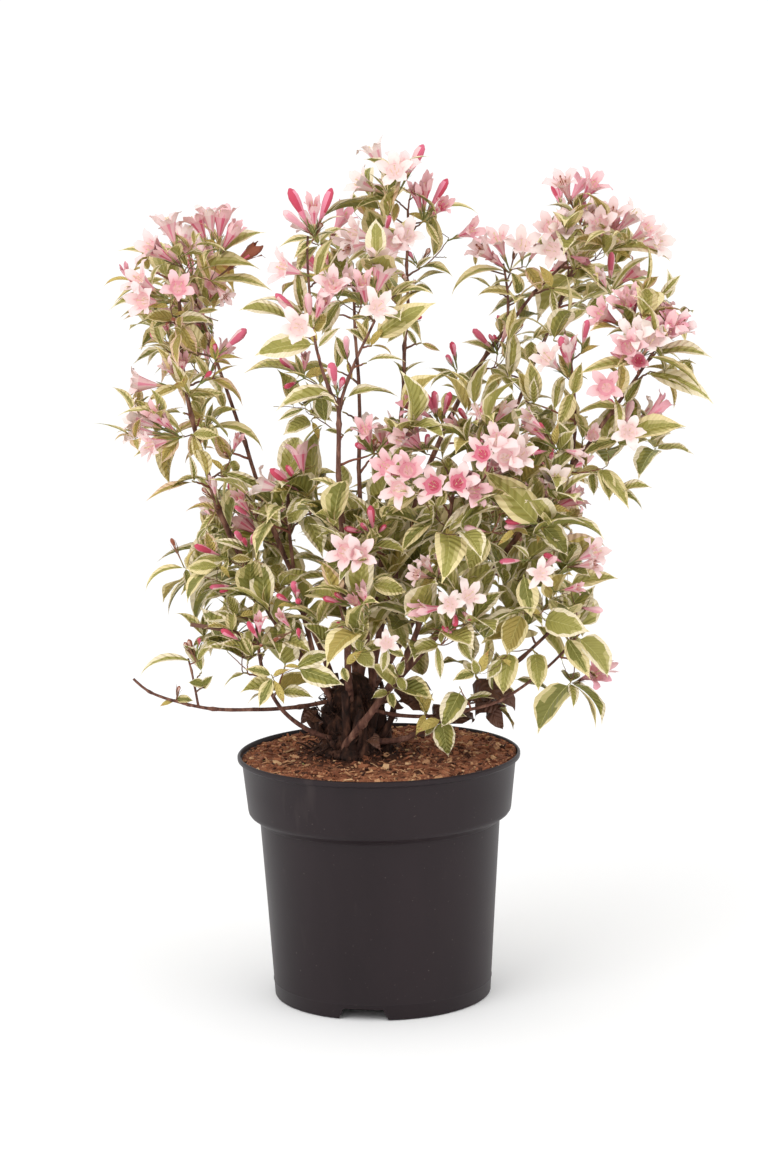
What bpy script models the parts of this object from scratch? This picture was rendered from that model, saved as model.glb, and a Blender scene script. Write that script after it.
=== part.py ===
# A variegated weigela in bloom, in a black nursery pot. Metres, +Z up.
# The origin is the centre of the pot's underside. The shrub's best side faces -Y.

from math import cos, pi, radians, sin

import bmesh
import bpy
from mathutils import Matrix, Vector, noise

# ---- driving dimensions -------------------------------------------------------------

GAP = 0.0003  # kept between pieces that touch
CROWN_GAP = 0.0005  # the same at the root crown, whose surface slants more

POT_HEIGHT = 0.200
RIM_RADIUS = 0.115
LIP_HEIGHT = 0.004
LIP_OVERHANG = 0.0035
COLLAR_HEIGHT = 0.050
COLLAR_TAPER = 0.0042
COLLAR_STEP = 0.0095  # how far the body stands in under the collar
COLLAR_ROUNDING = 0.005
BASE_RADIUS = 0.0885
WALL = 0.0025
FOOT_HEIGHT = 0.009  # the skirt that the pot stands on, and the notches in it
FLOOR_THICKNESS = 0.003
FOOT_DISC_RADIUS = 0.042
POT_SIDES = 40
SHARP_ANGLE = 35  # degrees: a steeper fold on the pot stays a crisp edge

NOTCH_COUNT = 3
NOTCH_BEARING = -100.5  # degrees of the first notch, a little left of the front
NOTCH_WIDTH_TOP = 0.032
NOTCH_WIDTH_BOTTOM = 0.041
NOTCH_REACH = 0.020
NOTCH_BELOW = 0.005  # how far a notch's cutter goes on under the pot

SOIL_BELOW_RIM = 0.0045
SOIL_MOUND = 0.004
SOIL_LEAN = 0.012  # rise for each metre to the right
SOIL_ROUGHNESS = 0.0012
SOIL_GRAIN = 60  # unevenness across one metre
SOIL_CLEARANCE = 0.0007  # kept from the inside of the wall
SOIL_EDGE_INSET = 0.0010  # the top's edge stands in by this much more
SOIL_RINGS = 4
SOIL_SIDES = 24

CROWN_FOOT = (-0.022, 0.000)  # where the root crown meets the soil, seen from above
CROWN_LEAN = (0.004, 0.002)  # how far its top has moved
CROWN_HEIGHT = 0.062
CROWN_SIDES = 14
CROWN_RIDGES = 0.3  # share of its radius
CROWN_STATIONS = [  # share of its height, and radius there
    (0.00, 0.0300),
    (0.08, 0.0264),
    (0.25, 0.0220),
    (0.50, 0.0209),
    (0.78, 0.0185),
    (0.94, 0.0150),
    (1.00, 0.00675),
]

LIMB_SIDES = 6
LIMB_STATIONS = 7
RIDGES_ROUND = 3  # how often a limb's ridges change round its section
RIDGES_ALONG = 0.4  # and from one station to the next
MASS_SEGMENTS = 10
MASS_RINGS = 7
MASS_FLOOR = 0.212  # no foliage below this height
MASS_FULLNESS = 1.10  # how far a mass swells past its half sizes, to meet its neighbours
COARSE_LUMPS = 0.36  # share of a mass's radius
COARSE_SPREAD = 1.3  # lumps across a mass
FINE_LUMPS = 0.20
FINE_SPREAD = 3.1
LUMPS_SHIFT = (1.7, 0.9, 2.3)  # from one mass to the next, so that no two are alike
NEIGHBOUR_REACH = 1.5  # masses further apart than this share of their sizes don't meet
LIMB_REACH = 2  # a limb within this share of a mass's half sizes is cut out of it
LIMB_CHECKS = 5  # places tested between two stations of a limb
MERGE_WITHIN = GAP / 10
CUT_WITHIN = GAP / 30

# Each limb rises from its foot, passes its bend and ends in a mass: foot, bend and tip,
# then the radius at the foot and at the tip.
STEMS = {
    "stem_left": (
        (-0.032, 0.002, 0.240), (-0.125, 0.006, 0.400), (-0.153, 0.008, 0.580), 0.0036, 0.0013,
    ),
    "stem_front": (
        (-0.022, -0.014, 0.245), (-0.026, -0.062, 0.360), (-0.026, -0.080, 0.497), 0.0032, 0.0017,
    ),
    "stem_top": (
        (-0.016, 0.007, 0.250), (0.019, 0.030, 0.440), (0.031, 0.042, 0.635), 0.0031, 0.0010,
    ),
    "stem_right": (
        (-0.006, 0.002, 0.242), (0.052, 0.035, 0.445), (0.159, 0.060, 0.590), 0.0034, 0.0011,
    ),
    "stem_right_outer": (
        (-0.006, -0.009, 0.235), (0.135, -0.030, 0.405), (0.222, -0.035, 0.525), 0.0034, 0.0011,
    ),
    "stem_back_left": (
        (-0.030, 0.014, 0.240), (-0.085, 0.065, 0.380), (-0.148, 0.105, 0.570), 0.0030, 0.0011,
    ),
    "stem_back": (
        (-0.019, 0.016, 0.244), (-0.012, 0.080, 0.400), (-0.015, 0.108, 0.590), 0.0030, 0.0011,
    ),
    "stem_back_right": (
        (-0.008, 0.013, 0.242), (0.085, 0.080, 0.400), (0.175, 0.115, 0.600), 0.0032, 0.0011,
    ),
    "stem_mid_left": (
        (-0.036, -0.009, 0.240), (-0.062, -0.016, 0.330), (-0.068, -0.020, 0.425), 0.0025, 0.0011,
    ),
    "stem_front_right": (
        (-0.026, -0.020, 0.222), (0.030, -0.060, 0.300), (0.062, -0.085, 0.425), 0.0029, 0.0012,
    ),
    "stem_low_right": (
        (-0.014, -0.018, 0.214), (0.050, -0.032, 0.231), (0.150, -0.040, 0.315), 0.0030, 0.0012,
    ),
    "stem_low_thin": (
        (-0.006, -0.016, 0.238), (0.085, -0.054, 0.247), (0.160, -0.060, 0.305), 0.0017, 0.0010,
    ),
    "stem_low_left": (
        (-0.036, -0.014, 0.214), (-0.084, -0.035, 0.255), (-0.095, -0.040, 0.330), 0.0021, 0.0011,
    ),
    "stem_arching_left": (
        (-0.038, -0.003, 0.243), (-0.135, -0.028, 0.243), (-0.195, -0.035, 0.270), 0.0019, 0.0010,
    ),
}

# Side boughs: the stem that carries each, the share of its length where they part, then
# bend, tip and radii as above.
BOUGHS = {
    "bough_front_left": (
        "stem_front", 0.97, (-0.044, -0.066, 0.545), (-0.048, -0.045, 0.620), 0.0015, 0.0009,
    ),
    "bough_front_right": (
        "stem_front", 0.97, (-0.008, -0.070, 0.535), (0.012, -0.055, 0.570), 0.0014, 0.0009,
    ),
    "bough_right_inner": (
        "stem_right", 0.78, (0.111, 0.052, 0.556), (0.108, 0.058, 0.590), 0.0012, 0.0009,
    ),
    "bough_right_mid": (
        "stem_right_outer", 0.60, (0.160, -0.034, 0.480), (0.155, -0.031, 0.530), 0.0013, 0.0009,
    ),
    "shoot_left_wand": (
        "stem_arching_left", 0.56, (-0.147, -0.031, 0.262), (-0.151, -0.031, 0.285), 0.0011, 0.0008,
    ),
}

# Each mass of leaves and blossom: its centre, then its half sizes.
MASSES = {
    "foliage_left_top": ((-0.148, 0.010, 0.610), (0.062, 0.054, 0.038)),
    "foliage_left_upper": ((-0.151, 0.010, 0.546), (0.046, 0.044, 0.038)),
    "foliage_left_outer": ((-0.171, -0.014, 0.468), (0.034, 0.038, 0.040)),
    "foliage_left_inner": ((-0.118, 0.020, 0.464), (0.034, 0.040, 0.044)),
    "foliage_left_shoulder": ((-0.138, 0.000, 0.370), (0.038, 0.042, 0.044)),
    "foliage_left_wand": ((-0.150, -0.030, 0.286), (0.036, 0.024, 0.024)),
    "foliage_front_left_top": ((-0.047, -0.040, 0.628), (0.029, 0.029, 0.030)),
    "foliage_front_left_upper": ((-0.049, -0.050, 0.566), (0.040, 0.036, 0.036)),
    "foliage_front_right_upper": ((0.016, -0.050, 0.571), (0.034, 0.034, 0.035)),
    "foliage_front_left_lower": ((-0.064, -0.052, 0.498), (0.032, 0.030, 0.034)),
    "foliage_crown_top": ((0.010, 0.040, 0.659), (0.038, 0.040, 0.040)),
    "foliage_crown_right": ((0.059, 0.040, 0.628), (0.030, 0.036, 0.042)),
    "foliage_right_top": ((0.178, 0.050, 0.620), (0.056, 0.050, 0.050)),
    "foliage_right_inner_top": ((0.104, 0.058, 0.595), (0.032, 0.034, 0.034)),
    "foliage_right_inner": ((0.097, 0.030, 0.517), (0.042, 0.036, 0.034)),
    "foliage_right_outer_top": ((0.220, -0.030, 0.543), (0.057, 0.046, 0.046)),
    "foliage_right_outer_mid": ((0.150, -0.030, 0.530), (0.026, 0.030, 0.034)),
    "foliage_right_shoulder": ((0.143, -0.030, 0.463), (0.040, 0.040, 0.040)),
    "foliage_right_tip": ((0.205, -0.020, 0.450), (0.040, 0.034, 0.034)),
    "foliage_front_centre": ((0.020, -0.080, 0.457), (0.038, 0.035, 0.034)),
    "foliage_front_right": ((0.080, -0.070, 0.464), (0.042, 0.038, 0.036)),
    "foliage_mid_left": ((-0.067, -0.020, 0.416), (0.044, 0.044, 0.040)),
    "foliage_mid_front": ((-0.009, -0.090, 0.393), (0.040, 0.038, 0.040)),
    "foliage_mid_right": ((0.058, -0.090, 0.391), (0.044, 0.040, 0.040)),
    "foliage_mid_far_right": ((0.123, -0.060, 0.398), (0.048, 0.046, 0.044)),
    "foliage_low_left": ((-0.090, -0.040, 0.312), (0.050, 0.048, 0.050)),
    "foliage_low_front": ((-0.019, -0.095, 0.323), (0.042, 0.038, 0.040)),
    "foliage_low_front_right": ((0.058, -0.090, 0.325), (0.044, 0.040, 0.042)),
    "foliage_low_right": ((0.130, -0.050, 0.341), (0.046, 0.044, 0.044)),
    "foliage_low_right_tip": ((0.166, -0.040, 0.288), (0.034, 0.034, 0.042)),
    "foliage_foot_right": ((0.084, -0.030, 0.264), (0.036, 0.034, 0.030)),
    "foliage_core": ((0.005, 0.015, 0.365), (0.060, 0.060, 0.070)),
    "foliage_back_left_top": ((-0.146, 0.104, 0.550), (0.046, 0.048, 0.066)),
    "foliage_back_left": ((-0.098, 0.095, 0.370), (0.056, 0.056, 0.064)),
    "foliage_back_top": ((-0.014, 0.108, 0.580), (0.042, 0.044, 0.064)),
    "foliage_back": ((0.008, 0.122, 0.375), (0.062, 0.054, 0.070)),
    "foliage_back_right_top": ((0.172, 0.115, 0.585), (0.048, 0.046, 0.066)),
    "foliage_back_right": ((0.115, 0.095, 0.385), (0.058, 0.056, 0.075)),
}


# ---- objects and materials ----------------------------------------------------------


def clear_scene():
    for obj in list(bpy.data.objects):
        bpy.data.objects.remove(obj, do_unlink=True)


def plain_material(name, colour, roughness):
    material = bpy.data.materials.new(name)
    material.use_nodes = True
    shader = material.node_tree.nodes["Principled BSDF"]
    shader.inputs["Base Color"].default_value = (*colour, 1.0)
    shader.inputs["Roughness"].default_value = roughness
    shader.inputs["Metallic"].default_value = 0.0
    material.diffuse_color = (*colour, 1.0)
    return material


def add_empty(name, location):
    empty = bpy.data.objects.new(name, None)
    empty.location = location
    bpy.context.scene.collection.objects.link(empty)
    return empty


def add_object(name, bm, location, parent, material=None):
    """Turns the bmesh, which is built round location, into an object under parent."""
    bmesh.ops.recalc_face_normals(bm, faces=bm.faces)
    mesh = bpy.data.meshes.new(name)
    bm.to_mesh(mesh)
    bm.free()
    obj = bpy.data.objects.new(name, mesh)
    bpy.context.scene.collection.objects.link(obj)
    obj.parent = parent
    obj.location = Vector(location) - parent.location
    if material:
        mesh.materials.append(material)
    return obj


def make_cutter(obj):
    obj.hide_render = True
    obj.display_type = "WIRE"
    return obj


def cut(obj, name, cutter):
    modifier = obj.modifiers.new(name, "BOOLEAN")
    modifier.operation = "DIFFERENCE"
    modifier.solver = "EXACT"
    modifier.object = cutter


# ---- the pot and the soil -----------------------------------------------------------


def body_radius(height):
    """The outer radius of the pot's tapering body."""
    top = RIM_RADIUS - LIP_OVERHANG - COLLAR_TAPER - COLLAR_STEP
    share = height / (POT_HEIGHT - COLLAR_HEIGHT)
    return BASE_RADIUS + (top - BASE_RADIUS) * share


def pot_profile():
    """(radius, height) up the outside, over the lip, and down the inside to the axis."""
    lip_bottom = POT_HEIGHT - LIP_HEIGHT
    collar_bottom = POT_HEIGHT - COLLAR_HEIGHT
    collar_top_radius = RIM_RADIUS - LIP_OVERHANG
    collar_radius = collar_top_radius - COLLAR_TAPER
    skirt_inside = BASE_RADIUS - WALL
    floor_top = FOOT_HEIGHT + FLOOR_THICKNESS
    underside = [
        (0.0, 0.0),
        (FOOT_DISC_RADIUS, 0.0),
        (FOOT_DISC_RADIUS + WALL, FOOT_HEIGHT),
        (skirt_inside, FOOT_HEIGHT),
        (skirt_inside, 0.0),
        (BASE_RADIUS, 0.0),
    ]
    outside = [
        (body_radius(collar_bottom), collar_bottom - COLLAR_ROUNDING),
        (collar_radius - WALL, collar_bottom),
        (collar_radius, collar_bottom + COLLAR_ROUNDING),
        (collar_top_radius, lip_bottom - LIP_OVERHANG / 2),
        (RIM_RADIUS, lip_bottom),
        (RIM_RADIUS, POT_HEIGHT - LIP_HEIGHT / 3),
        (RIM_RADIUS - LIP_HEIGHT / 3, POT_HEIGHT),
    ]
    inside = [
        (collar_top_radius - WALL, POT_HEIGHT),
        (collar_radius - 2 * WALL, collar_bottom + COLLAR_ROUNDING),
        (body_radius(collar_bottom) - WALL, collar_bottom - COLLAR_ROUNDING),
        (skirt_inside, floor_top),
        (0.0, floor_top),
    ]
    return underside + outside + inside


def turned(profile, sides):
    """A closed body turned about Z from a profile whose two ends lie on the axis."""
    bm = bmesh.new()
    points = [bm.verts.new((radius, 0.0, height)) for radius, height in profile]
    edges = [bm.edges.new(pair) for pair in zip(points, points[1:])]
    bmesh.ops.spin(
        bm, geom=points + edges, cent=(0, 0, 0), axis=(0, 0, 1),
        angle=2 * pi, steps=sides, use_merge=True,
    )
    bmesh.ops.remove_doubles(bm, verts=bm.verts, dist=MERGE_WITHIN)
    return bm


def notch_cutter(bearing):
    """A wedge through the skirt, wider at the bottom, as one notch leaves it."""
    bm = bmesh.new()
    slope = (NOTCH_WIDTH_BOTTOM - NOTCH_WIDTH_TOP) / 2 / FOOT_HEIGHT
    outline = [
        (-NOTCH_WIDTH_TOP / 2, FOOT_HEIGHT + GAP),
        (NOTCH_WIDTH_TOP / 2, FOOT_HEIGHT + GAP),
        (NOTCH_WIDTH_BOTTOM / 2 + slope * NOTCH_BELOW, -NOTCH_BELOW),
        (-NOTCH_WIDTH_BOTTOM / 2 - slope * NOTCH_BELOW, -NOTCH_BELOW),
    ]
    near = BASE_RADIUS - NOTCH_REACH
    face = bm.faces.new([bm.verts.new((near, along, height)) for along, height in outline])
    pushed = bmesh.ops.extrude_face_region(bm, geom=[face])
    corners = [item for item in pushed["geom"] if isinstance(item, bmesh.types.BMVert)]
    bmesh.ops.translate(bm, verts=corners, vec=(2 * NOTCH_REACH, 0, 0))
    bmesh.ops.rotate(bm, verts=bm.verts, matrix=Matrix.Rotation(radians(bearing), 3, "Z"))
    return bm


def make_pot(parent):
    material = plain_material("black_pot_plastic", (0.045, 0.040, 0.043), 0.42)
    pot = add_object("pot", turned(pot_profile(), POT_SIDES), (0, 0, 0), parent, material)
    for number in range(NOTCH_COUNT):
        bearing = NOTCH_BEARING + number * 360 / NOTCH_COUNT
        name = f"notch_cutter_{number + 1}"
        cutter = add_object(name, notch_cutter(bearing), (0, 0, 0), parent)
        cut(pot, name, make_cutter(cutter))
    pot.data.shade_smooth()
    pot.data.set_sharp_from_angle(angle=radians(SHARP_ANGLE))
    return pot


def soil_height(x, y):
    """The uneven top of the compost, a little higher round the stems and to the right."""
    level = POT_HEIGHT - SOIL_BELOW_RIM
    reach = Vector((x, y)).length / RIM_RADIUS
    mound = SOIL_MOUND * max(0.0, 1 - reach * reach) + SOIL_LEAN * x
    grain = SOIL_ROUGHNESS * noise.noise(Vector((x, y, 0)) * SOIL_GRAIN)
    return level + mound + grain


def make_soil(parent):
    """The root ball: the pot's inside, filled, with an uneven top."""
    bm = bmesh.new()
    floor_top = FOOT_HEIGHT + FLOOR_THICKNESS + GAP
    collar_bottom = POT_HEIGHT - COLLAR_HEIGHT
    clear = WALL + SOIL_CLEARANCE
    top_radius = RIM_RADIUS - LIP_OVERHANG - clear - SOIL_EDGE_INSET
    collar_radius = RIM_RADIUS - LIP_OVERHANG - COLLAR_TAPER - WALL - clear
    levels = [
        (BASE_RADIUS - clear, floor_top),
        (body_radius(collar_bottom) - clear, collar_bottom - COLLAR_ROUNDING),
        (collar_radius, collar_bottom + COLLAR_ROUNDING),
    ]
    rings = []
    for radius, height in levels:
        rings.append([bm.verts.new((*spoke(radius, n), height)) for n in range(SOIL_SIDES)])
    for step in range(SOIL_RINGS):
        radius = top_radius * (1 - step / SOIL_RINGS)
        flat = [spoke(radius, n) for n in range(SOIL_SIDES)]
        rings.append([bm.verts.new((x, y, soil_height(x, y))) for x, y in flat])
    for lower, upper in zip(rings, rings[1:]):
        for n in range(SOIL_SIDES):
            after = (n + 1) % SOIL_SIDES
            bm.faces.new((lower[n], lower[after], upper[after], upper[n]))
    peak = bm.verts.new((0, 0, soil_height(0, 0)))
    for n in range(SOIL_SIDES):
        bm.faces.new((rings[-1][n], rings[-1][(n + 1) % SOIL_SIDES], peak))
    bm.faces.new(list(reversed(rings[0])))
    material = plain_material("brown_compost", (0.155, 0.062, 0.030), 0.95)
    return add_object("soil", bm, (0, 0, 0), parent, material)


def spoke(radius, number):
    angle = 2 * pi * number / SOIL_SIDES
    return radius * cos(angle), radius * sin(angle)


# ---- the woody limbs ----------------------------------------------------------------


def tube(path, radii, sides, ridges=0.0):
    """A closed tapering limb along path; ridges makes its section uneven."""
    bm = bmesh.new()
    rings = []
    across = Vector((0, 1, 0))
    for index, (centre, radius) in enumerate(zip(path, radii)):
        ahead = path[min(index + 1, len(path) - 1)] - path[max(index - 1, 0)]
        ahead.normalize()
        side = across.cross(ahead).normalized()
        across = ahead.cross(side).normalized()
        ring = []
        for number in range(sides):
            angle = 2 * pi * number / sides
            spot = (RIDGES_ROUND * cos(angle), RIDGES_ROUND * sin(angle), index * RIDGES_ALONG)
            swell = 1 + ridges * noise.noise(Vector(spot))
            offset = side * cos(angle) + across * sin(angle)
            ring.append(bm.verts.new(centre + offset * radius * swell))
        rings.append(ring)
    for lower, upper in zip(rings, rings[1:]):
        for number in range(sides):
            after = (number + 1) % sides
            bm.faces.new((lower[number], lower[after], upper[after], upper[number]))
    bm.faces.new(rings[0])
    bm.faces.new(rings[-1])
    return bm


def bowed_path(foot, bend, tip):
    """Points of the smooth arc from foot through bend, at half way, to tip."""
    foot, bend, tip = Vector(foot), Vector(bend), Vector(tip)
    pull = 2 * bend - (foot + tip) / 2
    points = []
    for step in range(LIMB_STATIONS):
        t = step / (LIMB_STATIONS - 1)
        points.append(foot * (1 - t) ** 2 + pull * 2 * t * (1 - t) + tip * t ** 2)
    return points


def tapering(foot_radius, tip_radius, count, extra=0.0):
    step = (tip_radius - foot_radius) / (count - 1)
    return [foot_radius + step * number + extra for number in range(count)]


def place_on(path, share):
    """The point at a share of the way along a path."""
    along = share * (len(path) - 1)
    index = min(int(along), len(path) - 2)
    return path[index].lerp(path[index + 1], along - index)


def crown_stations(extra=0.0):
    """The root crown's centres and radii, from the flare at the soil to its rounded top."""
    x, y = CROWN_FOOT
    foot = Vector((x, y, soil_height(x, y) + SOIL_ROUGHNESS * 2 + GAP))
    top = foot + Vector((*CROWN_LEAN, CROWN_HEIGHT))
    foot.z -= extra
    top.z += extra
    path = [foot.lerp(top, share) for share, _ in CROWN_STATIONS]
    radii = [radius + extra for _, radius in CROWN_STATIONS]
    return path, radii


def limb_routes():
    """Name to (path, foot radius, tip radius, carrier) for every stem and side bough."""
    routes = {}
    for name, (foot, bend, tip, foot_radius, tip_radius) in STEMS.items():
        routes[name] = (bowed_path(foot, bend, tip), foot_radius, tip_radius, "root_crown")
    for name, (carrier, share, bend, tip, foot_radius, tip_radius) in BOUGHS.items():
        foot = place_on(routes[carrier][0], share)
        routes[name] = (bowed_path(foot, bend, tip), foot_radius, tip_radius, carrier)
    return routes


def about(path, origin):
    return [point - origin for point in path]


def make_crown(parent, bark):
    """The root crown and the cutter that keeps the stems just off it."""
    path, radii = crown_stations()
    origin = path[0]
    shape = tube(about(path, origin), radii, CROWN_SIDES, CROWN_RIDGES)
    crown = add_object("root_crown", shape, origin, parent, bark)
    crown.data.shade_smooth()
    wide_path, wide_radii = crown_stations(CROWN_GAP)
    wide_shape = tube(about(wide_path, origin), wide_radii, CROWN_SIDES, CROWN_RIDGES)
    return make_cutter(add_object("root_crown_cutter", wide_shape, origin, parent))


def make_limbs(parent, bark, routes, crown_cutter):
    """All stems and boughs. Returns each one's cutter, which is swollen by the gap."""
    cutters = {"root_crown": crown_cutter}
    for name, (path, foot_radius, tip_radius, carrier) in routes.items():
        origin = path[0].copy()
        local = about(path, origin)
        radii = tapering(foot_radius, tip_radius, len(path))
        limb = add_object(name, tube(local, radii, LIMB_SIDES), origin, parent, bark)
        limb.data.shade_smooth()
        cut(limb, "seat", cutters[carrier])
        ahead = (local[-1] - local[-2]).normalized() * GAP
        longer = local[:-1] + [local[-1] + ahead]
        wide = tapering(foot_radius, tip_radius, len(path), GAP)
        wide_shape = tube(longer, wide, LIMB_SIDES)
        cutters[name] = make_cutter(add_object(f"{name}_cutter", wide_shape, origin, parent))
    return cutters


# ---- the masses of foliage ----------------------------------------------------------


def reach_along(half_sizes, direction):
    """How far an ellipsoid reaches from its centre along a unit direction."""
    return 1 / Vector(part / size for part, size in zip(direction, half_sizes)).length


def keep_below(bm, point, normal):
    """Cuts off what lies past a plane and closes the cut."""
    geometry = bm.verts[:] + bm.edges[:] + bm.faces[:]
    done = bmesh.ops.bisect_plane(
        bm, geom=geometry, dist=CUT_WITHIN, plane_co=point, plane_no=normal, clear_outer=True
    )
    edges = [item for item in done["geom_cut"] if isinstance(item, bmesh.types.BMEdge)]
    if edges:
        bmesh.ops.holes_fill(bm, edges=edges, sides=0)


def lumpy_mass(number, half_sizes):
    """An uneven closed body with the given half sizes, lumps worked out from its number."""
    bm = bmesh.new()
    bmesh.ops.create_uvsphere(bm, u_segments=MASS_SEGMENTS, v_segments=MASS_RINGS, radius=1)
    shift = Vector(LUMPS_SHIFT) * number
    for vert in bm.verts:
        coarse = noise.noise(vert.co * COARSE_SPREAD + shift)
        fine = noise.noise(vert.co * FINE_SPREAD - shift)
        swell = MASS_FULLNESS + COARSE_LUMPS * coarse + FINE_LUMPS * fine
        vert.co = Vector(part * size * swell for part, size in zip(vert.co, half_sizes))
    return bm


def trim_to_neighbours(bm, name):
    """Flattens a mass where it meets another, so that the two lie one gap apart."""
    centre, half_sizes = MASSES[name]
    centre = Vector(centre)
    for other, (other_centre, other_sizes) in MASSES.items():
        across = Vector(other_centre) - centre
        reach = NEIGHBOUR_REACH * (max(half_sizes) + max(other_sizes))
        if other == name or across.length > reach:
            continue
        direction = across.normalized()
        own = reach_along(half_sizes, direction)
        share = own / (own + reach_along(other_sizes, direction))
        keep_below(bm, across * share - direction * GAP / 2, direction)
    lowest = MASS_FLOOR - centre.z
    if lowest > -NEIGHBOUR_REACH * max(half_sizes):
        keep_below(bm, Vector((0, 0, lowest)), Vector((0, 0, -1)))


def passes_through(path, centre, half_sizes):
    """Whether a limb comes inside or close to a mass."""
    reach = [LIMB_REACH * size for size in half_sizes]
    for first, second in zip(path, path[1:]):
        for step in range(LIMB_CHECKS):
            away = first.lerp(second, step / (LIMB_CHECKS - 1)) - centre
            if Vector(part / size for part, size in zip(away, reach)).length < 1:
                return True
    return False


def make_masses(parent, routes, cutters):
    leaf = plain_material("variegated_leaf", (0.330, 0.330, 0.130), 0.6)
    blossom = plain_material("pink_blossom", (0.720, 0.330, 0.370), 0.6)
    crown_path, _ = crown_stations()
    blooming = ("top", "front_centre", "front_right", "left_outer", "mid_right")
    for number, (name, (centre, half_sizes)) in enumerate(MASSES.items()):
        bm = lumpy_mass(number, half_sizes)
        trim_to_neighbours(bm, name)
        colour = blossom if any(word in name for word in blooming) else leaf
        mass = add_object(name, bm, centre, parent, colour)
        if passes_through(crown_path, Vector(centre), half_sizes):
            cut(mass, "root_crown", cutters["root_crown"])
        for limb, (path, *_) in routes.items():
            if passes_through(path, Vector(centre), half_sizes):
                cut(mass, limb, cutters[limb])


def main():
    clear_scene()
    pot_base = add_empty("pot_base", (0, 0, 0))
    shrub_foot = add_empty("shrub_foot", (*CROWN_FOOT, POT_HEIGHT))
    make_pot(pot_base)
    make_soil(pot_base)
    bark = plain_material("brown_bark", (0.100, 0.052, 0.038), 0.85)
    routes = limb_routes()
    cutters = make_limbs(shrub_foot, bark, routes, make_crown(shrub_foot, bark))
    make_masses(shrub_foot, routes, cutters)


main()
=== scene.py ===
from math import atan2, cos, exp, pi, radians, sin, sqrt
from random import Random

import bpy
import numpy as np
from mathutils import Matrix, Vector, noise


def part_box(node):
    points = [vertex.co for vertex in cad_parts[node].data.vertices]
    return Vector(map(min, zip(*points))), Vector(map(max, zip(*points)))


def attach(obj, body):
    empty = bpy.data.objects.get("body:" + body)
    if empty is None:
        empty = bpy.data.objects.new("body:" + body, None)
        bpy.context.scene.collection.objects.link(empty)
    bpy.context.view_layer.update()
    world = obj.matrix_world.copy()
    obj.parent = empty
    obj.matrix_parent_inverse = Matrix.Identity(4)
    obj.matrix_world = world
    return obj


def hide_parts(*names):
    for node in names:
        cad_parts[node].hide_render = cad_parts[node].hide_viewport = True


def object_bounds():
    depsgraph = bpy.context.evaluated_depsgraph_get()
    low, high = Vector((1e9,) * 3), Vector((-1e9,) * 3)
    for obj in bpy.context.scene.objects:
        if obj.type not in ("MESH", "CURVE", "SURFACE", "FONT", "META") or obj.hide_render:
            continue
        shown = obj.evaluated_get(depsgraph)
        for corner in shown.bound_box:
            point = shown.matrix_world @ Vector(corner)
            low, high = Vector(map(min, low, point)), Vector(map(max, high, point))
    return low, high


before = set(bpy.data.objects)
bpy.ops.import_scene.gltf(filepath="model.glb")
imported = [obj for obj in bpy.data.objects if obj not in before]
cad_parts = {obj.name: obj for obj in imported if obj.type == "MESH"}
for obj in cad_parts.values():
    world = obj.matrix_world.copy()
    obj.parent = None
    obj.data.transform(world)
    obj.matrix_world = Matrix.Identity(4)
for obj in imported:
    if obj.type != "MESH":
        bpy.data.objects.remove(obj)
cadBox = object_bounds()
bpy.ops.object.select_all(action="DESELECT")
print("frame loaded,", len(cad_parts), "solids")


# small helpers used by every piece

def srgb(red, green, blue):
    parts = []
    for value in (red / 255, green / 255, blue / 255):
        parts.append(value / 12.92 if value <= 0.04045 else ((value + 0.055) / 1.055) ** 2.4)
    return (*parts, 1.0)


def startMaterial(name, colour, roughness, specular=0.5):
    material = bpy.data.materials.new(name)
    material.use_nodes = True
    shader = material.node_tree.nodes["Principled BSDF"]
    shader.inputs["Base Color"].default_value = colour
    shader.inputs["Roughness"].default_value = roughness
    shader.inputs["Specular IOR Level"].default_value = specular
    material.diffuse_color = colour
    return material, material.node_tree, shader


def addNode(tree, kind, **settings):
    node = tree.nodes.new(kind)
    for key, value in settings.items():
        if key in node.inputs:
            node.inputs[key].default_value = value
        else:
            setattr(node, key, value)
    return node


def objectNoise(tree, scale, detail=4.0, stretch=(1, 1, 1)):
    place = addNode(tree, "ShaderNodeTexCoord")
    turn = addNode(tree, "ShaderNodeMapping")
    turn.inputs["Scale"].default_value = stretch
    tree.links.new(place.outputs["Object"], turn.inputs["Vector"])
    grain = addNode(tree, "ShaderNodeTexNoise", Scale=scale, Detail=detail)
    tree.links.new(turn.outputs["Vector"], grain.inputs["Vector"])
    return grain.outputs["Fac"]


def rampBetween(tree, factor, stops):
    ramp = addNode(tree, "ShaderNodeValToRGB")
    while len(ramp.color_ramp.elements) < len(stops):
        ramp.color_ramp.elements.new(0.5)
    for element, (place, colour) in zip(ramp.color_ramp.elements, stops):
        element.position = place
        element.color = colour
    tree.links.new(factor, ramp.inputs["Fac"])
    return ramp.outputs["Color"]


def mapRange(tree, factor, fromLow=0.0, fromHigh=1.0, toLow=0.0, toHigh=1.0):
    spread = addNode(tree, "ShaderNodeMapRange")
    spread.inputs["From Min"].default_value = fromLow
    spread.inputs["From Max"].default_value = fromHigh
    spread.inputs["To Min"].default_value = toLow
    spread.inputs["To Max"].default_value = toHigh
    tree.links.new(factor, spread.inputs["Value"])
    return spread.outputs["Result"]


def mathNode(tree, operation, *values):
    # each value is a number, or the output that feeds it
    node = addNode(tree, "ShaderNodeMath", operation=operation)
    for socket, value in zip(node.inputs, values):
        if isinstance(value, float):
            socket.default_value = value
        else:
            tree.links.new(value, socket)
    return node.outputs[0]


def roughBetween(tree, shader, factor, low, high):
    tree.links.new(mapRange(tree, factor, toLow=low, toHigh=high), shader.inputs["Roughness"])


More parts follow.
